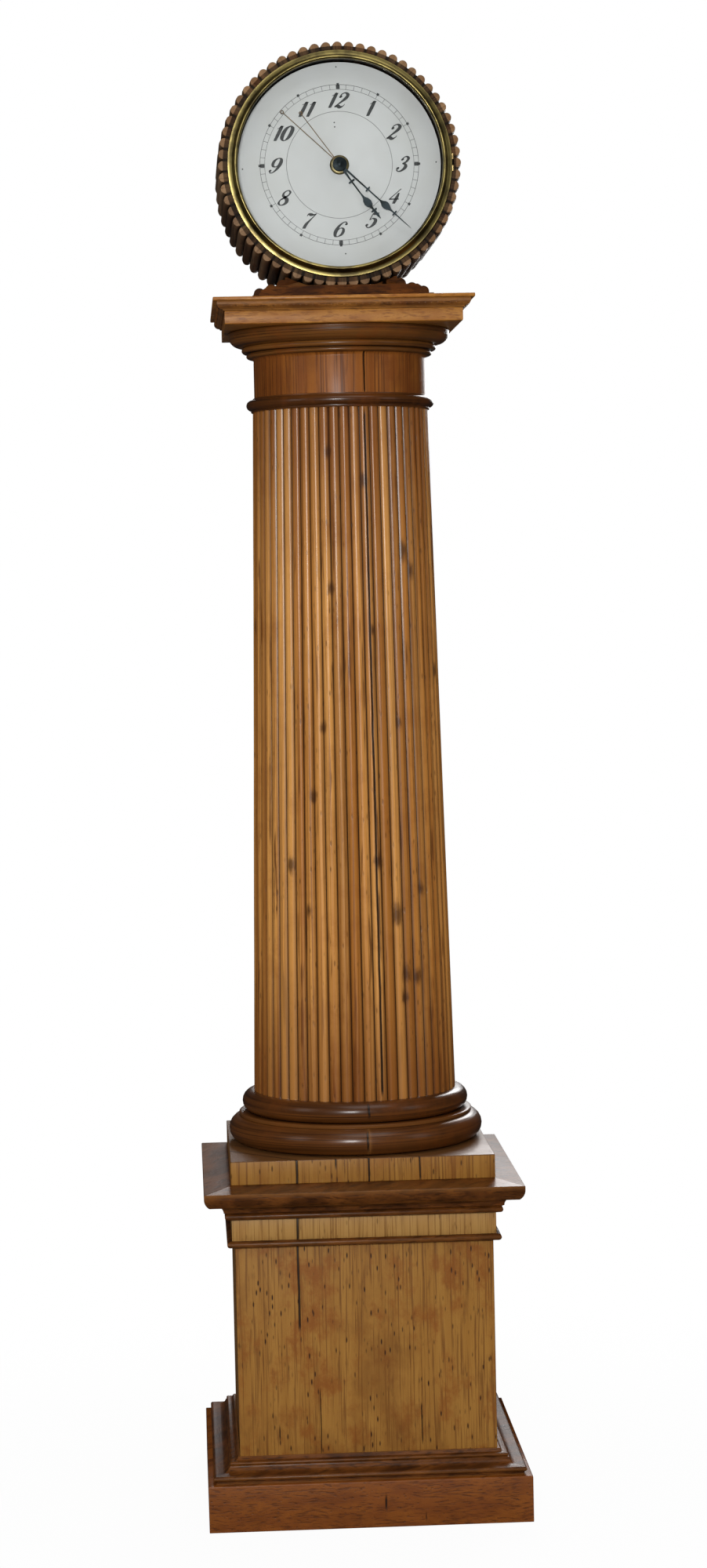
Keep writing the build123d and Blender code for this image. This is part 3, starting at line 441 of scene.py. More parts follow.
def wood(name, tone, shape="flat", grain="up", knots=(), cracks=(), reeds=None, flecks=0.0, stain=0.4,
         coat=0.25, figure=1.0, streaks=0.3, ends=None, wearAndHighlight=0.0, short=1.0, hollowShadeAndDust=0.0, topLevel=None):
    light, dark, line, gloss, sheen = tones[tone]
    m = Finish(name, Coat_Weight=coat, Coat_Roughness=0.20, Specular_IOR_Level=sheen)
    x, y, z = m.place()
    turn = None
    if shape == "round":
        turn = x.make("ARCTAN2", x, -y)
        out = (x * x + y * y) ** 0.5
        around = turn * 0.14
        across, depth, along = (around, out, z) if grain == "up" else (z, out, around)
    elif shape == "drum":
        middle = (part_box("dial")[0].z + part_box("dial")[1].z) / 2
        turn = x.make("ARCTAN2", x, z - middle)
        across, depth, along = turn * 0.16, x * 0.4, y
    else:
        across, depth, along = (x + y, x - y, z) if grain == "up" else (z, x - y, x + y)
    drift = m.noise(across * 9, depth * 9, along * 1.4, 2) - 0.5
    run = across + drift * 0.016
    bands = m.noise(run * 60, depth * 20, along * (0.7 * short), 3)
    lines = m.noise(run * 420, depth * 60, along * (2.4 * short), 2)
    fibre = m.noise(across * 1500, depth * 300, along * 22, 2)
    patch = m.noise(across * 14 + 3.1, depth * 14, along * 15, 6, 0.68)
    cloud = m.noise(across * 6 + 1.7, depth * 6, along * 7, 5, 0.65)
    body = m.mix(bands.step(0.34, 0.66) * figure + fibre * (1 - figure), dark, light)
    body = m.mix(lines.step(0.50, 0.66) * 0.7, body, line)
    body = m.mix(fibre.step(0.40, 0.70) * 0.45, body, dark)
    body = m.mix(patch.step(0.47, 0.66) * stain, body, m.mix(0.35, rust, dark))
    body = m.mix(cloud.step(0.47, 0.66) * stain * 0.6, body, m.mix(0.5, dark, line))
    if streaks:  # long dark runs in the grain
        streak = m.noise(run * 130, depth * 30, along * (7 * short), 3).step(0.58, 0.70)
        body = m.mix(streak * streaks, body, line)
    if ends:  # painted shade: darker and redder towards both ends
        low, high = ends
        endShade = along.step(low, low + 0.22, 1.0, 0.0) + along.step(high - 0.30, high, 0.0, 1.0)
        body = m.mix(endShade * 0.72, body, m.mix(0.45, rust, line))
    height = fibre * 0.3 - lines.step(0.5, 0.7) * 0.4
    wobble = (m.noise(across * 200, depth * 60, along * 80, 3) - 0.5) * 1.4
    hole = None
    for place, level, size in knots:
        side = (turn - math.radians(place)) * 0.135 if shape == "round" else across - place
        away = ((side / size) ** 2 + ((along - level) / (size * 1.9)) ** 2) ** 0.5 + wobble
        spot = away.step(0.25, 1.5, 1.0, 0.0)
        hole = spot if hole is None else hole.most(spot)
    split = None
    for place, low, high, width in cracks:
        side = (turn - math.radians(place)) * 0.135 if shape == "round" else across - place
        if grain == "level" and shape == "flat":
            side = along - place
        wander = (m.noise(across * 30, 0.0, z * 14, 2) - 0.5) * 0.003
        gap = abs(side + wander).step(width * 0.5, width * 1.4, 1.0, 0.0)
        gap = gap * z.step(low, low + 0.012) * z.step(high - 0.012, high, 1.0, 0.0)
        split = gap if split is None else split.most(gap)
    if flecks:
        place = m.point(across * 140, depth * 95, along * 42)
        cells = m.add("ShaderNodeTexVoronoi", {}, {"Vector": place, "Scale": 1.0})
        sparse = m.noise(across * 13, depth * 14, along * 9, 2).step(0.36, 0.54)
        fleck = cells.step(0.09, 0.24, 1.0, 0.0) * sparse
        body = m.mix(fleck * flecks, body, (0.035, 0.012, 0.004))
        height = height - fleck * 1.0
    if reeds:  # painted shade across each reed towards its grooves, and a tone that differs from reed to reed
        pitch = 2 * math.pi / reeds["count"]
        order = (turn - math.radians(reeds["phase"])) / pitch
        share = order.make("FRACT", order + 128.0)
        edge = abs(share - 0.5)
        each = order.make("FLOOR", order + 128.5)
        luck = m.add("ShaderNodeTexWhiteNoise", {"noise_dimensions": "1D"}, {"W": each})
        body = m.mix(luck.step(0.3, 1.0) * reeds["vary"], body, m.mix(0.6, dark, line))
        body = m.mix(luck.step(0.0, 0.4, 1.0, 0.0) * 0.4, body, light)
        # painted shade: each reed darker towards its grooves
        body = m.mix(edge.step(0.05, 0.28, 1.0, 0.0) * 0.34, body, reeds["shade"])
        body = m.mix(edge.step(0.015, reeds["dirt"], 1.0, 0.0) * 0.95, body, reeds["shade"])
    if hole:
        body = m.mix(hole * 0.80, body, (0.050, 0.016, 0.005))
    bend = m.add("ShaderNodeNewGeometry", {}, {}, 7) if wearAndHighlight or hollowShadeAndDust else None
    if hollowShadeAndDust:  # painted shade in the hollows, with old polish and dust
        body = m.mix(bend.step(0.40, 0.485, 1.0, 0.0) * hollowShadeAndDust, body, line)
    if wearAndHighlight:  # rubbed pale on the high places, with a painted highlight there
        body = m.mix(bend.step(0.53, 0.60) * wearAndHighlight, body, m.mix(0.5, light, (0.42, 0.19, 0.05)))
    if topLevel:  # painted shade on the top face of the block
        dustAndShade = m.mix(0.4, line, (0.10, 0.055, 0.025))
        body = m.mix(z.step(topLevel - 0.0016, topLevel - 0.0006) * 0.85, body, dustAndShade)
    if split:
        body = m.mix(split * 0.94, body, (0.010, 0.005, 0.003))
        height = height - split * 3.0
    m.feed("Base Color", body)
    m.feed("Roughness", fibre * 0.10 + patch * 0.24 + (gloss - 0.16))
    m.relief(height, 0.0004, 0.7)
    return m.material


def makeWoods():
    woods = {}
    # dirt and shade set the painted shade in the grooves
    groove = {"count": 54, "phase": -0.6, "dirt": 0.085, "shade": (0.022, 0.007, 0.002), "vary": 0.6}
    # ends: painted shade towards the top and bottom of the shaft
    woods["shaft"] = wood("shaftPine", "amber", "round", "up", knots=shaftKnots, reeds=groove, stain=0.4, coat=0.22,
                          ends=(0.58, 1.56), streaks=0.9, flecks=0.5, cracks=[(12.75, 0.585, 1.549, 0.0016)])
    woods["neck"] = wood("neckPine", "cherry", "round", "up", stain=0.6, coat=0.06, figure=0.5, short=2.0,
                         cracks=[(13.6, 1.565, 1.640, 0.0012)])
    die, frieze, plinth = -0.18, -0.184, -0.225  # where each front face stands
    woods["die"] = wood("diePine", "honey", "flat", "up", flecks=1.0, stain=0.95, coat=0.08, figure=0.35,
                        short=4.0, cracks=[(-0.093 + die, 0.265, 0.50, 0.0016), (-0.066 + die, 0.09, 0.19, 0.0006),
                                           (0.075 + die, 0.10, 0.165, 0.0007), (-0.124 + die, 0.11, 0.14, 0.0008)])
    woods["frieze"] = wood("friezePine", "straw", "flat", "up", flecks=0.4, stain=0.2, coat=0.10, figure=0.35,
                           short=3.0, cracks=[(-0.093 + frieze, 0.38, 0.45, 0.0018)])
    splits = [(-0.092, 0.46, 0.0018), (-0.038, 0.49, 0.0010), (0.008, 0.46, 0.0013), (0.079, 0.47, 0.0011)]
    # topLevel: painted shade on the block's top face
    woods["block"] = wood("blockPine", "honey", "flat", "up", flecks=0.8, stain=0.4, coat=0.10, figure=0.4,
                          short=3.0, topLevel=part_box("column_block")[1].z,
                          cracks=[(x + frieze, low, 0.52, width) for x, low, width in splits])
    woods["fascia"] = wood("fasciaPine", "fascia", "flat", "level", stain=0.3, coat=0.08, figure=0.7)
    woods["carved"] = wood("carvedPine", "carved", "flat", "level", stain=0.5, coat=0.05, hollowShadeAndDust=0.8, wearAndHighlight=0.4,
                           flecks=0.6)
    woods["plinth"] = wood("plinthPine", "russet", "flat", "level", stain=0.3, coat=0.10, flecks=0.4, figure=0.7,
                           cracks=[(0.020 + plinth, 0.020, 0.050, 0.0013), (0.075 + plinth, 0.004, 0.022, 0.0010)])
    woods["moulding"] = wood("mouldingPine", "auburn", "flat", "level", stain=0.3, coat=0.10, wearAndHighlight=0.7, hollowShadeAndDust=0.8)
    woods["saddle"] = wood("saddlePine", "umber", "flat", "level", stain=0.3, coat=0.0, wearAndHighlight=0.4, hollowShadeAndDust=0.7)
    woods["ring"] = wood("ringPine", "mahogany", "round", "level", stain=0.4, coat=0.30, wearAndHighlight=0.55, hollowShadeAndDust=0.9,
                         cracks=[(2.5, 0.512, 0.550, 0.0010), (4.0, 0.556, 0.585, 0.0012)])
    woods["echinus"] = wood("echinusPine", "chestnut", "round", "level", stain=0.6, coat=0.20, wearAndHighlight=0.4, hollowShadeAndDust=0.8)
    # dirt and shade set the painted shade in the grooves, on the drum and its rim
    scallop = {"count": 64, "phase": 0.0, "dirt": 0.16, "shade": (0.012, 0.006, 0.003), "vary": 0.6}
    woods["drum"] = wood("drumPine", "dusk", "drum", "up", stain=0.5, coat=0.04, streaks=0.6, flecks=0.8, wearAndHighlight=0.35,
                         reeds=scallop)
    woods["cover"] = wood("coverPine", "dusk", "flat", "up", stain=0.2, coat=0.05)
    woods["rim"] = wood("rimPine", "soot", "drum", "up", stain=0.3, coat=0.0,
                        reeds={**scallop, "dirt": 0.20, "shade": (0.008, 0.005, 0.003), "vary": 0.5})
    woods["bare"] = wood("barePine", "bare", "flat", "up", stain=0.05, coat=0.0)
    return woods


# ---- metals, paint, glass and rope ----
def metal(name, tone, dull, rough, spread=0.12, scale=60.0, scratch=0.5):
    m = Finish(name, Metallic=1.0)
    x, y, z = m.place()
    cloud = m.noise(x * scale, y * scale, z * scale, 4)
    grit = m.noise(x * 700, y * 700, z * 700, 2)
    m.feed("Base Color", m.mix(cloud.step(0.42, 0.66), tone, dull))
    m.feed("Roughness", cloud * spread + grit * 0.10 + rough)
    m.relief(grit * 0.4 + cloud * 0.6, 0.0002, scratch)
    return m.material


def dialPaint():
    m = Finish("dialPaint", Coat_Weight=0.04, Coat_Roughness=0.3, Specular_IOR_Level=0.15)
    x, y, z = m.place()
    cloud = m.noise(x * 14, y * 14, z * 14, 4)
    speck = m.noise(x * 420, y * 420, z * 420, 1)
    tone = m.mix(cloud.step(0.4, 0.7) * 0.5, (0.66, 0.66, 0.665), (0.61, 0.605, 0.59))
    tone = m.mix(speck.step(0.74, 0.79) * 0.5, tone, (0.30, 0.25, 0.18))
    m.feed("Base Color", tone)
    m.feed("Roughness", cloud * 0.2 + 0.35)
    m.relief(cloud + speck * 0.3, 0.0002, 0.3)
    return m.material


def inkPaint():
    m = Finish("inkPaint")
    x, y, z = m.place()
    wear = m.noise(x * 900, y * 900, z * 900, 2)
    m.feed("Base Color", m.mix(wear.step(0.5, 0.75), (0.012, 0.012, 0.014), (0.05, 0.05, 0.055)))
    m.feed("Roughness", wear * 0.2 + 0.4)
    return m.material


def glassFinish():
    m = Finish("clearGlass", Base_Color=(0.97, 0.99, 0.98, 1), Roughness=0.02, Specular_IOR_Level=0.5)
    clear = m.add("ShaderNodeBsdfTransparent", {}, {"Color": (0.985, 0.995, 0.99, 1)})
    shine = m.add("ShaderNodeBsdfGlossy", {}, {"Color": (1, 1, 1, 1), "Roughness": 0.02})
    edge = m.add("ShaderNodeFresnel", {}, {"IOR": 1.32})
    x, y, z = m.place()
    dustAndShade = m.noise(x * 30, y * 30, z * 30, 4).step(0.45, 0.8) * 0.02
    both = m.add("ShaderNodeMixShader", {}, {0: edge * 0.6 + dustAndShade, 1: clear, 2: shine})
    out = next(n for n in m.nodes if n.type == "OUTPUT_MATERIAL")
    m.links.new(both.socket, out.inputs[0])
    return m.material


def ropeFinish():
    m = Finish("hempRope", Roughness=0.9)
    x, y, z = m.place()
    fluff = m.noise(x * 2200, y * 2200, z * 900, 2)
    m.feed("Base Color", m.mix(fluff.step(0.35, 0.7), (0.20, 0.14, 0.08), (0.50, 0.40, 0.26)))
    m.relief(fluff, 0.0004, 0.7)
    return m.material


# ---- pedestal ----
def squareRun(outline, rub=1.2):  # a moulding carried round a square, with its mitres a little rubbed
    rows = []
    soft = rub / 1000
    for side, z in outline:
        loop = []
        for corner in range(4):
            turn = Matrix.Rotation(corner * math.pi / 2, 3, "Z")
            reach = max(side - soft, 0.001)
            for step in range(4):
                a = math.radians(step * 30 - 90)
                loop.append(turn @ Vector((reach + soft * math.cos(a), -reach + soft * math.sin(a), z)))
        rows.append(loop)
    size, verts = len(rows[0]), [v for row in rows for v in row]
    faces = []
    for i in range(len(rows)):
        a, b = i * size, ((i + 1) % len(rows)) * size
        faces += [(a + j, a + (j + 1) % size, b + (j + 1) % size, b + j) for j in range(size)]
    return outward(rawMesh(verts, faces))


pedestalRuns = {
    "base_moulding": path((180, 65), (214, 65), (214, 69), (217.5, 73, 213, 76), (206, 77), (199, 79, 195, 85),
                          (193, 86), (193.5, 89, 190, 90), (186, 91), (183, 95), (180, 95)),
    "frieze_bead": path((180, 389), (186.5, 389), (191, 393.5, 186.5, 398), (180, 398)),
    "cornice_moulding": path((160, 428), (187, 428), (191, 429), (193.5, 433, 191, 437), (195, 439.5),
                             (198.1, 446.9, 205.5, 450), (160, 450)),
    "cornice_board": path((150, 450), (215, 450), (220, 456, 222, 464), (222, 469), (221.2, 470),
                          (184, levels("cornice_board")[1]), (150, levels("cornice_board")[1])),
}


def makePedestal(woods):
    for node, outline in pedestalRuns.items():
        piece(node + "_run", squareRun(outline), woods["moulding"], "case", [node], 35)
    boards = (("plinth_boards", "plinth", 0.0016), ("die_boards", "die", 0.0012), ("frieze_boards", "frieze", 0.0006),
              ("column_block", "block", 0.0012), ("corner_blocks", "bare", 0.0010))
    for node, finish, edge in boards:
        piece(node + "_soft", softened(node, edge), woods[finish], "case", [node])
    print("pedestal done")


# ---- column ----
seamTurn = -0.6 + 2 * 360 / 54
shaftRule = {"reeds": 54, "phase": -0.6, "bottomRadius": 145.3, "topRadius": 125.0, "reedDepth": 0.033, "wall": 20.0}


def shaftTree():  # a reeded, tapered, curved shell bent out of a grid
    g = Geo("reededShell", start=0.0, end=90.0, low=0.0, high=1.0, bottom=0.0, top=1.0, bottomRadius=0.145,
            topRadius=0.125, reedDepth=0.033, wall=0.02, reeds=54.0, phase=0.0, around=100, up=20, material=None)
    sockets = {"Size X": 1.0, "Size Y": 1.0, "Vertices X": g["around"], "Vertices Y": g["up"]}
    sheet = g.add("GeometryNodeMeshGrid", {}, sockets)
    thick = g.add("GeometryNodeExtrudeMesh", {"mode": "FACES"}, {0: sheet, "Offset": (0, 0, 1), "Individual": False})
    under = g.add("GeometryNodeFlipFaces", {}, {0: sheet})
    block = g.add("GeometryNodeJoinGeometry", {}, {0: [thick, under]})
    block = g.add("GeometryNodeMergeByDistance", {}, {0: block, "Distance": 0.00001})
    u, v, w = g.parts(g.add("GeometryNodeInputPosition"))
    turn = (g["start"] + (u + 0.5) * (g["end"] - g["start"])) * (math.pi / 180)
    z = g["low"] + (v + 0.5) * (g["high"] - g["low"])
    rise = (z - g["bottom"]) / (g["top"] - g["bottom"])
    crest = g["bottomRadius"] + rise * (g["topRadius"] - g["bottomRadius"])
    count = (turn - g["phase"] * (math.pi / 180)) * g["reeds"] / (2 * math.pi)
    share = count - count.make("ROUND", count)
    half = math.sin(math.pi / shaftRule["reeds"])
    depth = shaftRule["reedDepth"]
    bow = (half ** 2 + depth ** 2) / (2 * depth)
    curve = (bow ** 2 - (share * (2 * half)) ** 2).most(0.0) ** 0.5
    outer = crest * (curve + (1 - bow))
    outer = outer - g.noise(turn * 25, 0.0, z * 3, 2) * 0.0009  # planed by hand, never quite true
    inner = crest - g["wall"]
    radius = inner + w * (outer - inner)
    place = g.point(radius * turn.sine(), -(radius * turn.cosine()), z)
    g.finish(g.add("GeometryNodeSetPosition", {}, {0: block, "Position": place}))
    return g


def makeShaft(woods):
    g = shaftTree()
    low, high = levels("shaft_left")
    doorLow, doorHigh = levels("shaft_door")
    doorLow, doorHigh = doorLow - 1, doorHigh + 1
    half = 11 * 180 / 54
    slack = math.degrees(0.35 / 125)
    edges = (180 - 0.6 - half, 180 - 0.6 + half)
    common = {"bottom": low / 1000, "top": high / 1000, "bottomRadius": shaftRule["bottomRadius"] / 1000,
              "topRadius": shaftRule["topRadius"] / 1000, "reedDepth": shaftRule["reedDepth"],
              "wall": shaftRule["wall"] / 1000, "reeds": float(shaftRule["reeds"]), "phase": shaftRule["phase"],
              "material": woods["shaft"]}

    def shell(start, end, bottom, top):
        around = int(round((end - start) / (360 / 54) * 12)) + 1
        return outward(g.mesh(start=start, end=end, low=bottom / 1000, high=top / 1000, around=around,
                              up=max(3, int((top - bottom) / 40)), **common))

    gap = 0.14  # the glued joint has opened a little
    back = 180 - 0.6
    right = [shell(seamTurn + gap, edges[0] - slack, low, high), shell(edges[0] - slack, back, low, doorLow),
             shell(edges[0] - slack, back, doorHigh, high)]
    left = [shell(edges[1] - 360 + slack, seamTurn - gap, low, high),
            shell(back - 360, edges[1] - 360 + slack, low, doorLow),
            shell(back - 360, edges[1] - 360 + slack, doorHigh, high)]
    piece("shaftLeft", joined(left), woods["shaft"], "case", ["shaft_left"], 50)
    piece("shaftRight", joined(right), woods["shaft"], "case", ["shaft_right"], 50)
    door = shell(edges[0] + slack, edges[1] - slack, doorLow + 1, doorHigh - 1)
    piece("shaftDoor", door, woods["shaft"], "shaft_door", ["shaft_door"], 50)
    print("shaft done")


def makeRings(woods):
    low, high = levels("lower_torus")
    middle, bulge = (low + high) / 2, (high - low) / 2
    torus = path((122, low), (176 - bulge, low), (182 - bulge, low + 0.6), (182, middle, 182 - bulge, high),
                 (122, high))
    for name, start, end in (("left", -180.6, seamTurn - 9.6), ("right", seamTurn - 9.6, 179.4)):
        mesh = lathe(torus, start + 0.05, end - 0.05, 280)
        piece("lowerTorus_" + name, mesh, woods["ring"], "case", ["lower_torus"])
    low, high = levels("upper_torus")
    top = low + 5
    middle, bulge = (top + high) / 2, (high - top) / 2
    torus = path((122, low), (166.5, low), (167, low + 0.6), (167, top - 0.8), (166.2, top), (164, top + 0.4),
                 (162 - bulge, top), (162, middle, 162 - bulge, high), (122, high))
    piece("upperTorus", lathe(torus, steps=280), woods["ring"], "case", ["upper_torus"])
    low, high = levels("astragal")
    ring = path((102, low), (126.6, low), (127, low + 0.5), (127, low + 2.8), (128, low + 3),
                (133.6, low + 10, 128, low + 17), (124.5, low + 17.4), (124, low + 18), (124, low + 19.6),
                (123.4, low + 20), (102, low + 20))
    piece("astragalRing", lathe(ring, steps=260), woods["ring"], "case", ["astragal"])
    low, high = levels("neck")
    ring = path((102, low), (122, low), (122, high - 6), (122.6, high - 2, 125, high), (102, high))
    halves = [lathe(ring, -180.6, 13.3, 240), lathe(ring, 13.9, 179.4, 240)]
    piece("neckHalves", joined(halves), woods["neck"], "case", ["neck"])
    low, high = levels("echinus")
    ring = path((102, low), (127.4, low), (128, low + 0.6), (132, low + 3.5, 129, low + 7), (129.6, low + 8),
                (132, low + 8.4), (138.5, low + 12, 136, low + 15.5), (137, low + 16.4), (140, low + 16.6),
                (143.4, low + 17), (155, low + 25, 157, low + 33), (157, low + 35.5, 155, low + 37), (102, low + 37))
    piece("echinusRing", lathe(ring, steps=280), woods["echinus"], "case", ["echinus"])
    print("rings done")


# ---- capital slab and head ----
def makeCapital(woods):
    slabs = (("abacus_boards", "fascia", 0.0012), ("abacus_board", "fascia", 0.0014),
             ("head_plinth", "saddle", 0.0010))
    for node, finish, edge in slabs:
        piece(node + "_soft", softened(node, edge), woods[finish], "case", [node])
    dress(woods["carved"], "abacus_crown")
    print("capital done")


def reedTree():  # half-round reeds laid round the drum
    g = Geo("drumReeds", count=64, first=0, last=63, radius=0.16, reed=0.0079, front=-0.1, back=0.1,
            height=1.0, seed=3, material=None)
    sockets = {"Vertices": 20, "Side Segments": 12, "Radius": 1.0, "Depth": 1.0}
    rod = g.add("GeometryNodeMeshCylinder", {"fill_type": "TRIANGLE_FAN"}, sockets)
    x, y, z = g.parts(g.add("GeometryNodeInputPosition"))
    end = abs(z).step(0.488, 0.5)
    slim = 1.0 - end * 0.16
    rod = g.add("GeometryNodeSetPosition", {}, {0: rod, "Position": g.point(x * slim, y * slim, z)})
    ring = g.add("GeometryNodePoints", {}, {"Count": g["count"]})
    order = g.add("GeometryNodeInputIndex")
    luck = g.add("FunctionNodeRandomValue", {"data_type": "FLOAT"}, {"Min": 0.0, "Max": 1.0, "Seed": g["seed"]}, 1)
    turn = order * (2 * math.pi) / g["count"]
    out = g["radius"] - luck * 0.0004
    middle = (g["front"] + g["back"]) * 0.5
    place = g.point(turn.sine() * out, middle, turn.cosine() * out + g["height"])
    ring = g.add("GeometryNodeSetPosition", {}, {0: ring, "Position": place})
    outside = (order + 0.5 - g["first"]) * (g["last"] + 0.5 - order)
    drop = g.add("FunctionNodeCompare", {"operation": "LESS_THAN"}, {0: outside, 1: 0.0})
    ring = g.add("GeometryNodeDeleteGeometry", {}, {0: ring, "Selection": drop})
    size = g["reed"] * (1.0 - luck * 0.03)
    scale = g.point(size, size, g["back"] - g["front"] - luck * 0.0014)
    sockets = {0: ring, "Instance": rod, "Rotation": (math.pi / 2, 0, 0), "Scale": scale}
    g.finish(g.add("GeometryNodeInstanceOnPoints", {}, sockets))
    return g


drumRule = {"core": 161.3, "reed": 7.9, "front": -134.0, "back": 141.0, "wellFront": -78.0, "wellBack": 24.0}


def makeDrum(woods):
    g = reedTree()
    low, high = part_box("dial")
    height = (low.z + high.z) / 2
    common = {"radius": drumRule["core"] / 1000, "reed": drumRule["reed"] / 1000, "height": height,
              "material": woods["drum"]}
    front, back = drumRule["front"] / 1000, drumRule["back"] / 1000
    cut = (28, 36)  # the reeds over the well, cut short on each side of it
    sets = [g.mesh(first=0, last=cut[0] - 1, front=front, back=back, **common),
            g.mesh(first=cut[1] + 1, last=63, front=front, back=back, **common),
            g.mesh(first=cut[0], last=cut[1], front=front, back=drumRule["wellFront"] / 1000, **common),
            g.mesh(first=cut[0], last=cut[1], front=drumRule["wellBack"] / 1000, back=back, **common)]
    piece("drumReeds", joined(sets), woods["drum"], "case", ["drum_reeds"])
    dress(woods["rim"], "drum_shell", "drum_rings")
    piece("backCover_soft", softened("back_cover", 0.0015), woods["cover"], "back_cover", ["back_cover"])
    print("drum done")


# ---- bezel, glass and dial ----
def facing(mesh, height):  # turns a shape made about Z to look out of the dial
    return turnedMesh(mesh, Matrix.Translation((0, 0, height)) @ Matrix.Rotation(math.pi / 2, 4, "X"))


def makeBezel(metals, height):
    back, seat, sight, edge = 136.8, 148.8, 141.6, 155.2
    ring = path((sight, seat), (sight, seat + 2), (sight + 0.3, seat + 3.6, sight + 1.2, seat + 4.5),
                (sight + 3, seat + 5.4, sight + 4.4, seat + 4.2), (sight + 5.0, seat + 2.6),
                (sight + 5.2, seat + 1.4), (sight + 6.0, back + 6.8, sight + 8.6, back + 4.4),
                (edge - 0.6, back + 4.2), (edge, back + 3.4),
                (edge, back), (144.6, back), (144.6, seat))
    piece("bezelRing", facing(lathe(ring, steps=300), height), metals["bezel"], "bezel_door", ["bezel"])
    # the keeper's inner wall is near-black: painted shade in the gap between bezel and dial
    keeper = path((sight + 0.2, back), (144.6, back), (144.6, seat - 2.2), (sight + 0.2, seat - 2.2))
    piece("bezelLining", facing(lathe(keeper, steps=240), height), metals["shadow"], "bezel_door", ["bezel"])
    dome = path((0, seat - 2.0), (70, seat - 2.1, 144, seat - 2.2), (144, seat - 0.2), (70, seat, 0, seat))
    pane = facing(lathe(dome, steps=160), height)
    piece("glassPane", pane, metals["glass"], "bezel_door", ["bezel_glass"])
    print("bezel done")


digits = {  # strokes of (x, y, width) on a grid one unit high, and round ends (x, y, size)
    "0": ([[(0.3, 1, 0.05), (0.12, 0.82, 0.16), (0.07, 0.5, 0.2), (0.12, 0.18, 0.16), (0.3, 0, 0.05),
           (0.48, 0.18, 0.16), (0.53, 0.5, 0.2), (0.48, 0.82, 0.16), (0.3, 1, 0.05)]],
         []),
    "1": ([[(0.04, 0.8, 0.03), (0.16, 0.88, 0.05), (0.26, 1, 0.1)],
          [(0.24, 1, 0.16), (0.24, 0.5, 0.18), (0.24, 0, 0.14)]],
         []),
    "2": ([[(0.1, 0.74, 0.05), (0.12, 0.9, 0.06), (0.3, 1, 0.07), (0.5, 0.86, 0.15), (0.48, 0.64, 0.18),
           (0.3, 0.38, 0.11), (0.06, 0.08, 0.05)],
          [(0.04, 0.06, 0.08), (0.2, 0.12, 0.15), (0.38, 0.03, 0.14), (0.54, 0.12, 0.05), (0.57, 0.24, 0.03)]],
         [(0.13, 0.74, 0.085)]),
    "3": ([[(0.1, 0.8, 0.05), (0.16, 0.93, 0.06), (0.3, 1, 0.07), (0.46, 0.86, 0.13), (0.42, 0.64, 0.12),
           (0.24, 0.53, 0.05)],
          [(0.24, 0.53, 0.05), (0.44, 0.46, 0.11), (0.52, 0.26, 0.18), (0.4, 0.06, 0.12), (0.24, 0, 0.06),
           (0.1, 0.07, 0.05), (0.06, 0.2, 0.05)]],
         [(0.13, 0.8, 0.08), (0.1, 0.21, 0.085)]),
    "4": ([[(0.44, 1, 0.05), (0.24, 0.66, 0.05), (0.02, 0.3, 0.05)],
          [(0.02, 0.3, 0.07), (0.3, 0.31, 0.06), (0.6, 0.3, 0.04)],
          [(0.42, 0.72, 0.08), (0.42, 0.36, 0.17), (0.4, 0, 0.14)]],
         []),
    "5": ([[(0.16, 0.96, 0.04), (0.14, 0.75, 0.05), (0.12, 0.52, 0.04)],
          [(0.15, 0.95, 0.1), (0.32, 0.92, 0.13), (0.5, 0.98, 0.05)],
          [(0.12, 0.52, 0.04), (0.28, 0.62, 0.06), (0.48, 0.5, 0.15), (0.5, 0.26, 0.18), (0.38, 0.05, 0.1),
           (0.22, 0, 0.05), (0.08, 0.12, 0.05)]],
         [(0.1, 0.17, 0.085)]),
    "6": ([[(0.5, 0.86, 0.05), (0.42, 0.98, 0.05), (0.26, 0.95, 0.07), (0.1, 0.7, 0.14), (0.06, 0.38, 0.19),
           (0.14, 0.08, 0.12), (0.3, 0, 0.05), (0.48, 0.12, 0.13), (0.52, 0.3, 0.15), (0.44, 0.52, 0.1),
           (0.28, 0.58, 0.05), (0.12, 0.44, 0.05)]],
         [(0.49, 0.84, 0.08)]),
    "7": ([[(0.06, 0.84, 0.04), (0.1, 0.98, 0.08), (0.26, 0.93, 0.15), (0.42, 0.92, 0.08), (0.56, 1, 0.04)],
          [(0.56, 0.99, 0.04), (0.38, 0.62, 0.08), (0.24, 0.3, 0.16), (0.22, 0, 0.16)]],
         []),
    "8": ([[(0.3, 0.53, 0.11), (0.13, 0.66, 0.11), (0.12, 0.86, 0.09), (0.3, 1, 0.05), (0.47, 0.87, 0.09),
           (0.45, 0.68, 0.08), (0.3, 0.53, 0.12), (0.1, 0.36, 0.07), (0.08, 0.14, 0.1), (0.28, 0, 0.05),
           (0.5, 0.14, 0.16), (0.48, 0.36, 0.17), (0.3, 0.53, 0.11)]],
         []),
    "9": ([[(0.48, 0.56, 0.05), (0.32, 0.42, 0.05), (0.14, 0.5, 0.11), (0.08, 0.72, 0.15), (0.14, 0.9, 0.12),
           (0.3, 1, 0.05), (0.46, 0.92, 0.12), (0.53, 0.64, 0.19), (0.48, 0.3, 0.14), (0.34, 0.06, 0.07),
           (0.18, 0.02, 0.05), (0.1, 0.14, 0.05)]],
         [(0.12, 0.16, 0.08)]),
}


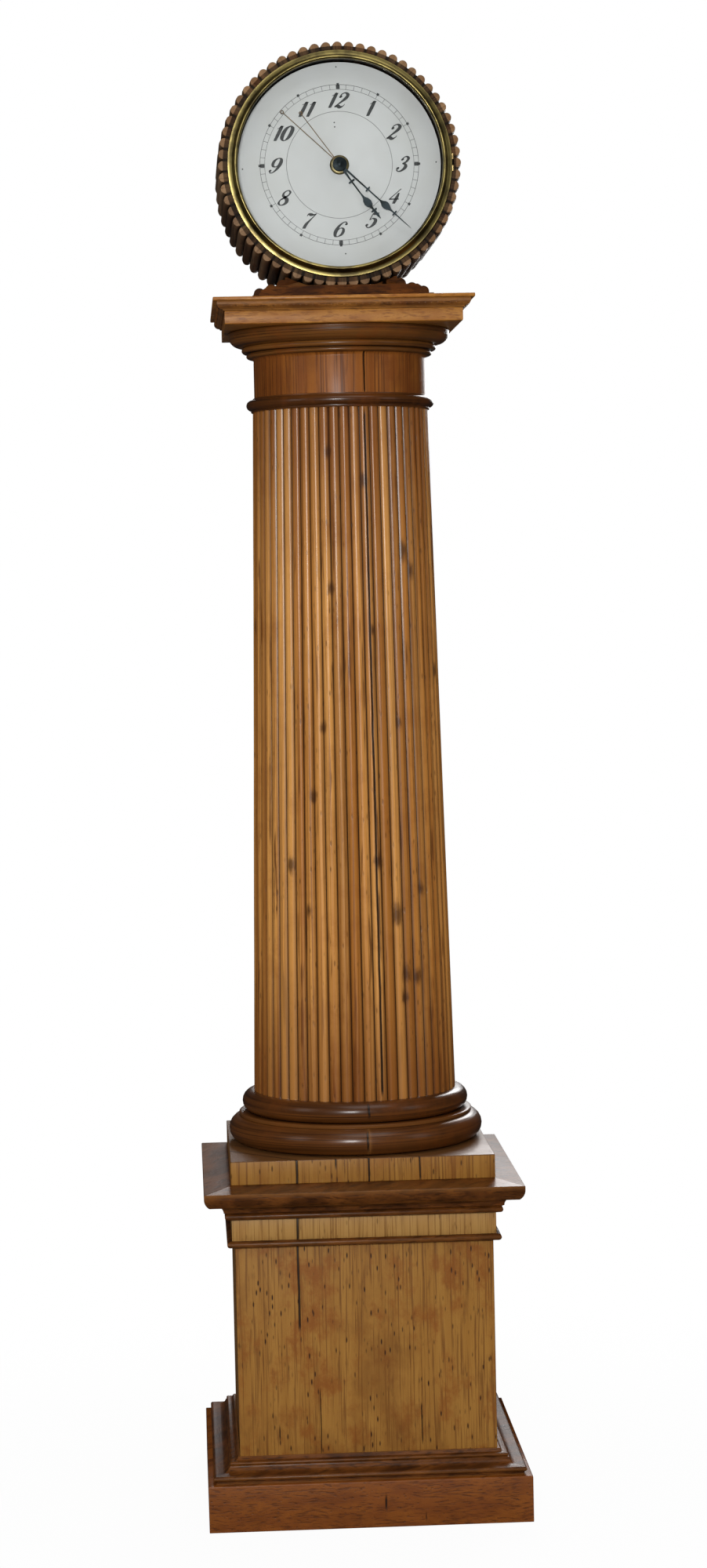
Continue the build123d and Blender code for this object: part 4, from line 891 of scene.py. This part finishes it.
def ribbon(points, steps=8):  # a stroke whose width changes along it
    rows = [np.array(p, float) for p in points]
    rows = [2 * rows[0] - rows[1]] + rows + [2 * rows[-1] - rows[-2]]
    line = []
    for a, b, c, d in zip(rows, rows[1:], rows[2:], rows[3:]):
        for i in range(steps):
            t = i / steps
            curve = (2 * a - 5 * b + 4 * c - d) * t * t + (3 * b - a - 3 * c + d) * t ** 3
            line.append(0.5 * (2 * b + (c - a) * t + curve))
    line.append(rows[-2])
    left, right = [], []
    for i, here in enumerate(line):
        ahead = line[min(i + 1, len(line) - 1)] - line[max(i - 1, 0)]
        side = np.array((-ahead[1], ahead[0])) / (math.hypot(ahead[0], ahead[1]) or 1)
        width = max(here[2] * dialRule["bold"], 0.045) / 2
        left.append(here[:2] + side * width)
        right.append(here[:2] - side * width)
    return left, right


def flatFaces(strips, y):
    verts, faces = [], []
    for left, right in strips:
        base = len(verts)
        for a, b in zip(left, right):
            verts += [(a[0], y, a[1]), (b[0], y, b[1])]
        faces += [(base + 2 * i, base + 2 * i + 1, base + 2 * i + 3, base + 2 * i + 2) for i in range(len(left) - 1)]
    return verts, faces


def glyph(text, size, slant):
    strips, cursor = [], 0.0
    for letter in text:
        strokes, dots = digits[letter]
        width = 0.36 if letter == "1" else 0.60
        drawn = [ribbon(stroke) for stroke in strokes]
        for x, y, r in dots:
            turns = [math.pi * i / 8 for i in range(9)]
            drawn.append(([np.array((x + r * math.cos(t), y + r * math.sin(t))) for t in turns],
                          [np.array((x + r * math.cos(t), y - r * math.sin(t))) for t in turns]))
        for left, right in drawn:
            strips.append(([p + (cursor, 0) for p in left], [p + (cursor, 0) for p in right]))
        cursor += width + 0.10
    wide = cursor - 0.10

    def place(p):
        return np.array(((p[0] - wide / 2) * dialRule["wide"] + (p[1] - 0.5) * slant, p[1] - 0.5)) * size

    return [([place(p) for p in left], [place(p) for p in right]) for left, right in strips]


def tickTree():  # flat blocks set round a circle
    g = Geo("dialTicks", count=60, radius=0.1, length=0.006, width=0.0004, deep=0.00015, height=1.0,
            front=-0.1, material=None)
    ring = g.add("GeometryNodePoints", {}, {"Count": g["count"]})
    order = g.add("GeometryNodeInputIndex")
    turn = order * (2 * math.pi) / g["count"]
    place = g.point(turn.sine() * g["radius"], g["front"], turn.cosine() * g["radius"] + g["height"])
    ring = g.add("GeometryNodeSetPosition", {}, {0: ring, "Position": place})
    bar = g.add("GeometryNodeMeshCube", {}, {"Size": g.point(g["width"], g["deep"], g["length"])})
    sockets = {0: ring, "Instance": bar, "Rotation": g.point(0.0, turn, 0.0)}
    g.finish(g.add("GeometryNodeInstanceOnPoints", {}, sockets))
    return g


dialRule = {"outer": 109.8, "inner": 103.3, "middle": 73.2, "numerals": 88.3, "numeralSize": 0.0203, "slant": 0.52,
            "wide": 1.14, "bold": 1.25, "pins": ((-0.002, 0.134), (0.134, 0.002), (-0.134, -0.004), (0.006, -0.122),
                                                 (-0.006, 0.058), (-0.0055, 0.052))}


def ringBand(radius, width, front, back, height):
    near, far = radius - width / 2, radius + width / 2
    return facing(lathe(path((near, -back), (far, -back), (far, -front), (near, -front)), steps=220), height)


def makeDial(metals, height):
    low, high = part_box("dial")
    face = low.y
    piece("dialFace", softened("dial", 0.0003), metals["dial"], "case", ["dial"])
    ink = 0.00012
    front, back = face - ink, face + ink
    g = tickTree()
    middle = (dialRule["outer"] + dialRule["inner"]) / 2000
    long = (dialRule["outer"] - dialRule["inner"]) / 1000
    proud = face - 0.00003
    sizes = ((60, middle, long, 0.0005, face), (4, middle, long * 0.86, 0.0052, proud),
             (12, (dialRule["outer"] + 0.4) / 1000, 0.0034, 0.0034, proud))
    marks = [g.mesh(count=count, radius=radius, length=length, width=width, height=height, front=out,
                    material=metals["ink"]) for count, radius, length, width, out in sizes]
    for radius, width in ((dialRule["outer"], 0.55), (dialRule["inner"], 0.45), (dialRule["middle"], 0.50)):
        marks.append(ringBand(radius, width, front * 1000, back * 1000, height))
    piece("minuteTrack", joined(marks), metals["ink"], "case", [], 30)
    strips = []
    for hour in range(1, 13):
        turn = math.radians(30 * hour)
        reach = dialRule["numerals"] / 1000
        centre = np.array((reach * math.sin(turn), height + reach * math.cos(turn)))
        for left, right in glyph(str(hour), dialRule["numeralSize"], dialRule["slant"]):
            strips.append(([p + centre for p in left], [p + centre for p in right]))
    verts, faces = flatFaces(strips, face - 0.0002)
    mesh = rawMesh(verts, faces)
    bm = bmesh.new()
    bm.from_mesh(mesh)
    for f in bm.faces:
        if f.normal.y > 0:
            f.normal_flip()
    bmesh.ops.solidify(bm, geom=bm.faces, thickness=-0.00012)
    bm.to_mesh(mesh)
    bm.free()
    piece("numerals", mesh, metals["ink"], "case", [], 30)
    pins = []
    for x, z in dialRule["pins"]:
        peg = lathe([(0, 0.1255), (0.0010, 0.1255), (0.0010, 0.1262), (0, 0.1264)], steps=10)
        pins.append(turnedMesh(facing(peg, height), Matrix.Translation((x, 0, z))))
    piece("dialPins", joined(pins), metals["ink"], "case", [], 30)
    print("dial done")


# ---- hands ----
hourHand = {
    "turn": 143.5, "front": -131.4, "back": -130.2, "bend": 1.2, "body": "hour_pipe", "node": "hour_hand",
    "bore": 6.5, "boss": 8.0, "tail": 86.0, "ring": 2.0, "outline": [
        (1.9, 7), (1.3, 20), (1.0, 27), (4.6, 27.4), (4.9, 28.4), (4.6, 29.4), (1.0, 29.8), (0.9, 50), (1.6, 56),
        (4.2, 60), (5.4, 65), (4.2, 69.5), (1.6, 73), (1.3, 77.2), (4.4, 77.6), (4.7, 78.6), (4.2, 79.4),
        (1.6, 79.8), (1.9, 86), (0.2, 92.8)]}
minuteHand = {
    "turn": 132.7, "front": -135.6, "back": -134.4, "bend": 0.0, "body": "minute_arbor", "node": "minute_hand",
    "bore": 2.5, "boss": 7.0, "tail": 104.5, "ring": 2.0, "outline": [
        (1.5, 6), (1.1, 30), (1.0, 50.3), (4.0, 50.7), (4.3, 51.5), (4.0, 52.3), (0.9, 52.7), (0.9, 74), (1.8, 77),
        (4.6, 81.5), (5.2, 84.7), (3.9, 89), (1.7, 93), (1.1, 96), (1.0, 99.8), (4.0, 100.2), (4.3, 100.9),
        (4.0, 101.6), (0.9, 102), (0.6, 115), (0.15, 130.6)]}


def makeHand(rule, metals, height):
    left = [(-x, z) for x, z in rule["outline"]]
    outline = [(x / 1000, z / 1000) for x, z in rule["outline"] + left[::-1]]
    low, high = rule["front"] / 1000, rule["back"] / 1000
    blade = plate(outline, low, high)
    bm = bmesh.new()
    bm.from_mesh(blade)
    for v in bm.verts:  # the real hand has a slight bow
        v.co.x += rule["bend"] / 1000 * math.sin(math.pi * min(1, v.co.z / 0.09))
    bm.to_mesh(blade)
    bm.free()
    bore, edge, near, far = rule["bore"], rule["boss"], -rule["back"], -rule["front"]
    disc = path((bore, near), (edge, near), (edge, far - 0.3), (edge - 0.5, far), (bore, far))
    boss = facing(lathe(disc, steps=64), 0)
    spin = Matrix.Translation((0, 0, height)) @ Matrix.Rotation(math.radians(rule["turn"]), 4, "Y")
    name = rule["node"].replace("_h", "H")
    piece(name, turnedMesh(joined([blade, boss]), spin), metals["blued"], rule["body"], [rule["node"]], 30)
    middle = (low + high) / 2
    reach, end = rule["ring"] / 1000, -rule["tail"] / 1000
    wire = rawMesh(*tube([(0, middle, -0.004), (0, middle, end)], 0.00055, 10))
    turns = [2 * math.pi * i / 20 for i in range(21)]
    loop = [(reach * math.sin(t), middle, end - reach + reach * math.cos(t)) for t in turns]
    loop = rawMesh(*tube(loop, 0.0006, 8))
    tail = turnedMesh(joined([outward(wire), outward(loop)]), spin)
    piece(name + "Tail", tail, metals["gilt"], rule["body"], [], 60)


def tube(points, radius, sides):
    verts, faces = [], []
    for i, here in enumerate(points):
        here = Vector(here)
        ahead = Vector(points[min(i + 1, len(points) - 1)]) - Vector(points[max(i - 1, 0)])
        frameTurn = ahead.to_track_quat("Z", "Y")
        for j in range(sides):
            a = 2 * math.pi * j / sides
            verts.append(here + frameTurn @ Vector((radius * math.cos(a), radius * math.sin(a), 0)))
    for i in range(len(points) - 1):
        a, b = i * sides, (i + 1) * sides
        faces += [(a + j, a + (j + 1) % sides, b + (j + 1) % sides, b + j) for j in range(sides)]
    faces += [tuple(range(sides))[::-1], tuple((len(points) - 1) * sides + j for j in range(sides))]
    return verts, faces


def makeHub(metals, height):
    ring = path((8.6, 126), (13.2, 126), (13.4, 126.5), (12.6, 127.3), (11, 127.9), (9.2, 127.9), (8.6, 127.2))
    piece("collet", facing(lathe(ring, steps=96), height), metals["hub"], "case", ["dial_collet"])
    cap = path((0, 135.7), (9.2, 135.7), (9.8, 136.1), (9.4, 136.8), (6.5, 137.4), (3.0, 137.8), (2.2, 138.2),
               (0, 138.3))
    piece("handNut", facing(lathe(cap, steps=48), height), metals["blued"], "minute_arbor")
    print("hands done")


# ---- ropes ----
def twistedRope(x, y, low, high, radius, lay=0.014):  # three strands twisted together
    sides, rows = 15, max(8, int((high - low) / 0.0032))
    verts, faces = [], []
    for i in range(rows + 1):
        z = low + (high - low) * i / rows
        for j in range(sides):
            a = 2 * math.pi * j / sides
            lobe = radius * (0.86 + 0.14 * abs(math.cos(1.5 * a)) ** 0.8)
            b = a + 2 * math.pi * z / (lay * 3)
            verts.append((x + lobe * math.cos(b), y + lobe * math.sin(b), z))
    for i in range(rows):
        a, b = i * sides, (i + 1) * sides
        faces += [(a + j, a + (j + 1) % sides, b + (j + 1) % sides, b + j) for j in range(sides)]
    faces += [tuple(range(sides))[::-1], tuple(rows * sides + j for j in range(sides))]
    return outward(rawMesh(verts, faces))


def makeRopes(metals):
    for node, body in (("weight_rope", "weight"), ("counter_rope", "counterweight")):
        low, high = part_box(node)
        middle = (low + high) / 2
        mesh = twistedRope(middle.x, middle.y, low.z, high.z, (high.x - low.x) / 2)
        rope = piece(node + "_strands", mesh, metals["rope"], None, [node], 0)
        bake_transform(rope)
    dress(metals["rope"], "rope_over_pulley")
    print("ropes done")


def makeMetals():
    metals = {
        "bezel": metal("bezelBrass", (0.30, 0.24, 0.085), (0.12, 0.095, 0.042), 0.26, scale=40),
        "brass": metal("agedBrass", (0.50, 0.36, 0.15), (0.26, 0.18, 0.075), 0.30),
        "gilt": metal("giltWire", (0.26, 0.17, 0.09), (0.12, 0.08, 0.045), 0.40),
        # near-black: painted shade, for the bezel's keeper wall and its hinge leaf
        "shadow": metal("paintedShadowMetal", (0.020, 0.014, 0.010), (0.010, 0.008, 0.006), 0.60),
        "hub": metal("hubBrass", (0.25, 0.20, 0.10), (0.10, 0.085, 0.05), 0.34),
        "blued": metal("bluedSteel", (0.024, 0.030, 0.034), (0.012, 0.014, 0.014), 0.34),
        "steel": metal("paleSteel", (0.42, 0.42, 0.43), (0.24, 0.23, 0.22), 0.30),
        "iron": metal("castIron", (0.055, 0.052, 0.050), (0.030, 0.022, 0.018), 0.55),
        "dial": dialPaint(), "ink": inkPaint(), "glass": glassFinish(), "rope": ropeFinish()}
    dress(metals["brass"], "shaft_door_leaves", "shaft_door_knob", "hinge_leaves", "back_cover_leaves",
          "back_cover_knob", "dial_feet", "movement_plates", "movement_pillars", "suspension_cock",
          "great_wheel", "hour_wheel",
          "minute_wheel", "escape_wheel", "third_wheel", "centre_arbor", "rating_nut", "rope_pulley", "pendulum_bob")
    # the hinge leaf is near-black: painted shade, to read as a dark gap in the wood
    dress(metals["shadow"], "bezel_leaf")
    dress(metals["steel"], "click", "pallet_anchor", "suspension_spring", "pendulum_rod")
    dress(metals["iron"], "weight", "counterweight")
    return metals


setCamera()
setLight()
setFloor()
woods = makeWoods()
metals = makeMetals()
print("finishes done")
makePedestal(woods)
makeShaft(woods)
makeRings(woods)
makeCapital(woods)
makeDrum(woods)
dialHeight = (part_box("dial")[0].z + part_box("dial")[1].z) / 2
makeBezel(metals, dialHeight)
makeDial(metals, dialHeight)
makeHand(hourHand, metals, dialHeight)
makeHand(minuteHand, metals, dialHeight)
makeHub(metals, dialHeight)
makeRopes(metals)
dress(woods["bare"], "seatboard")
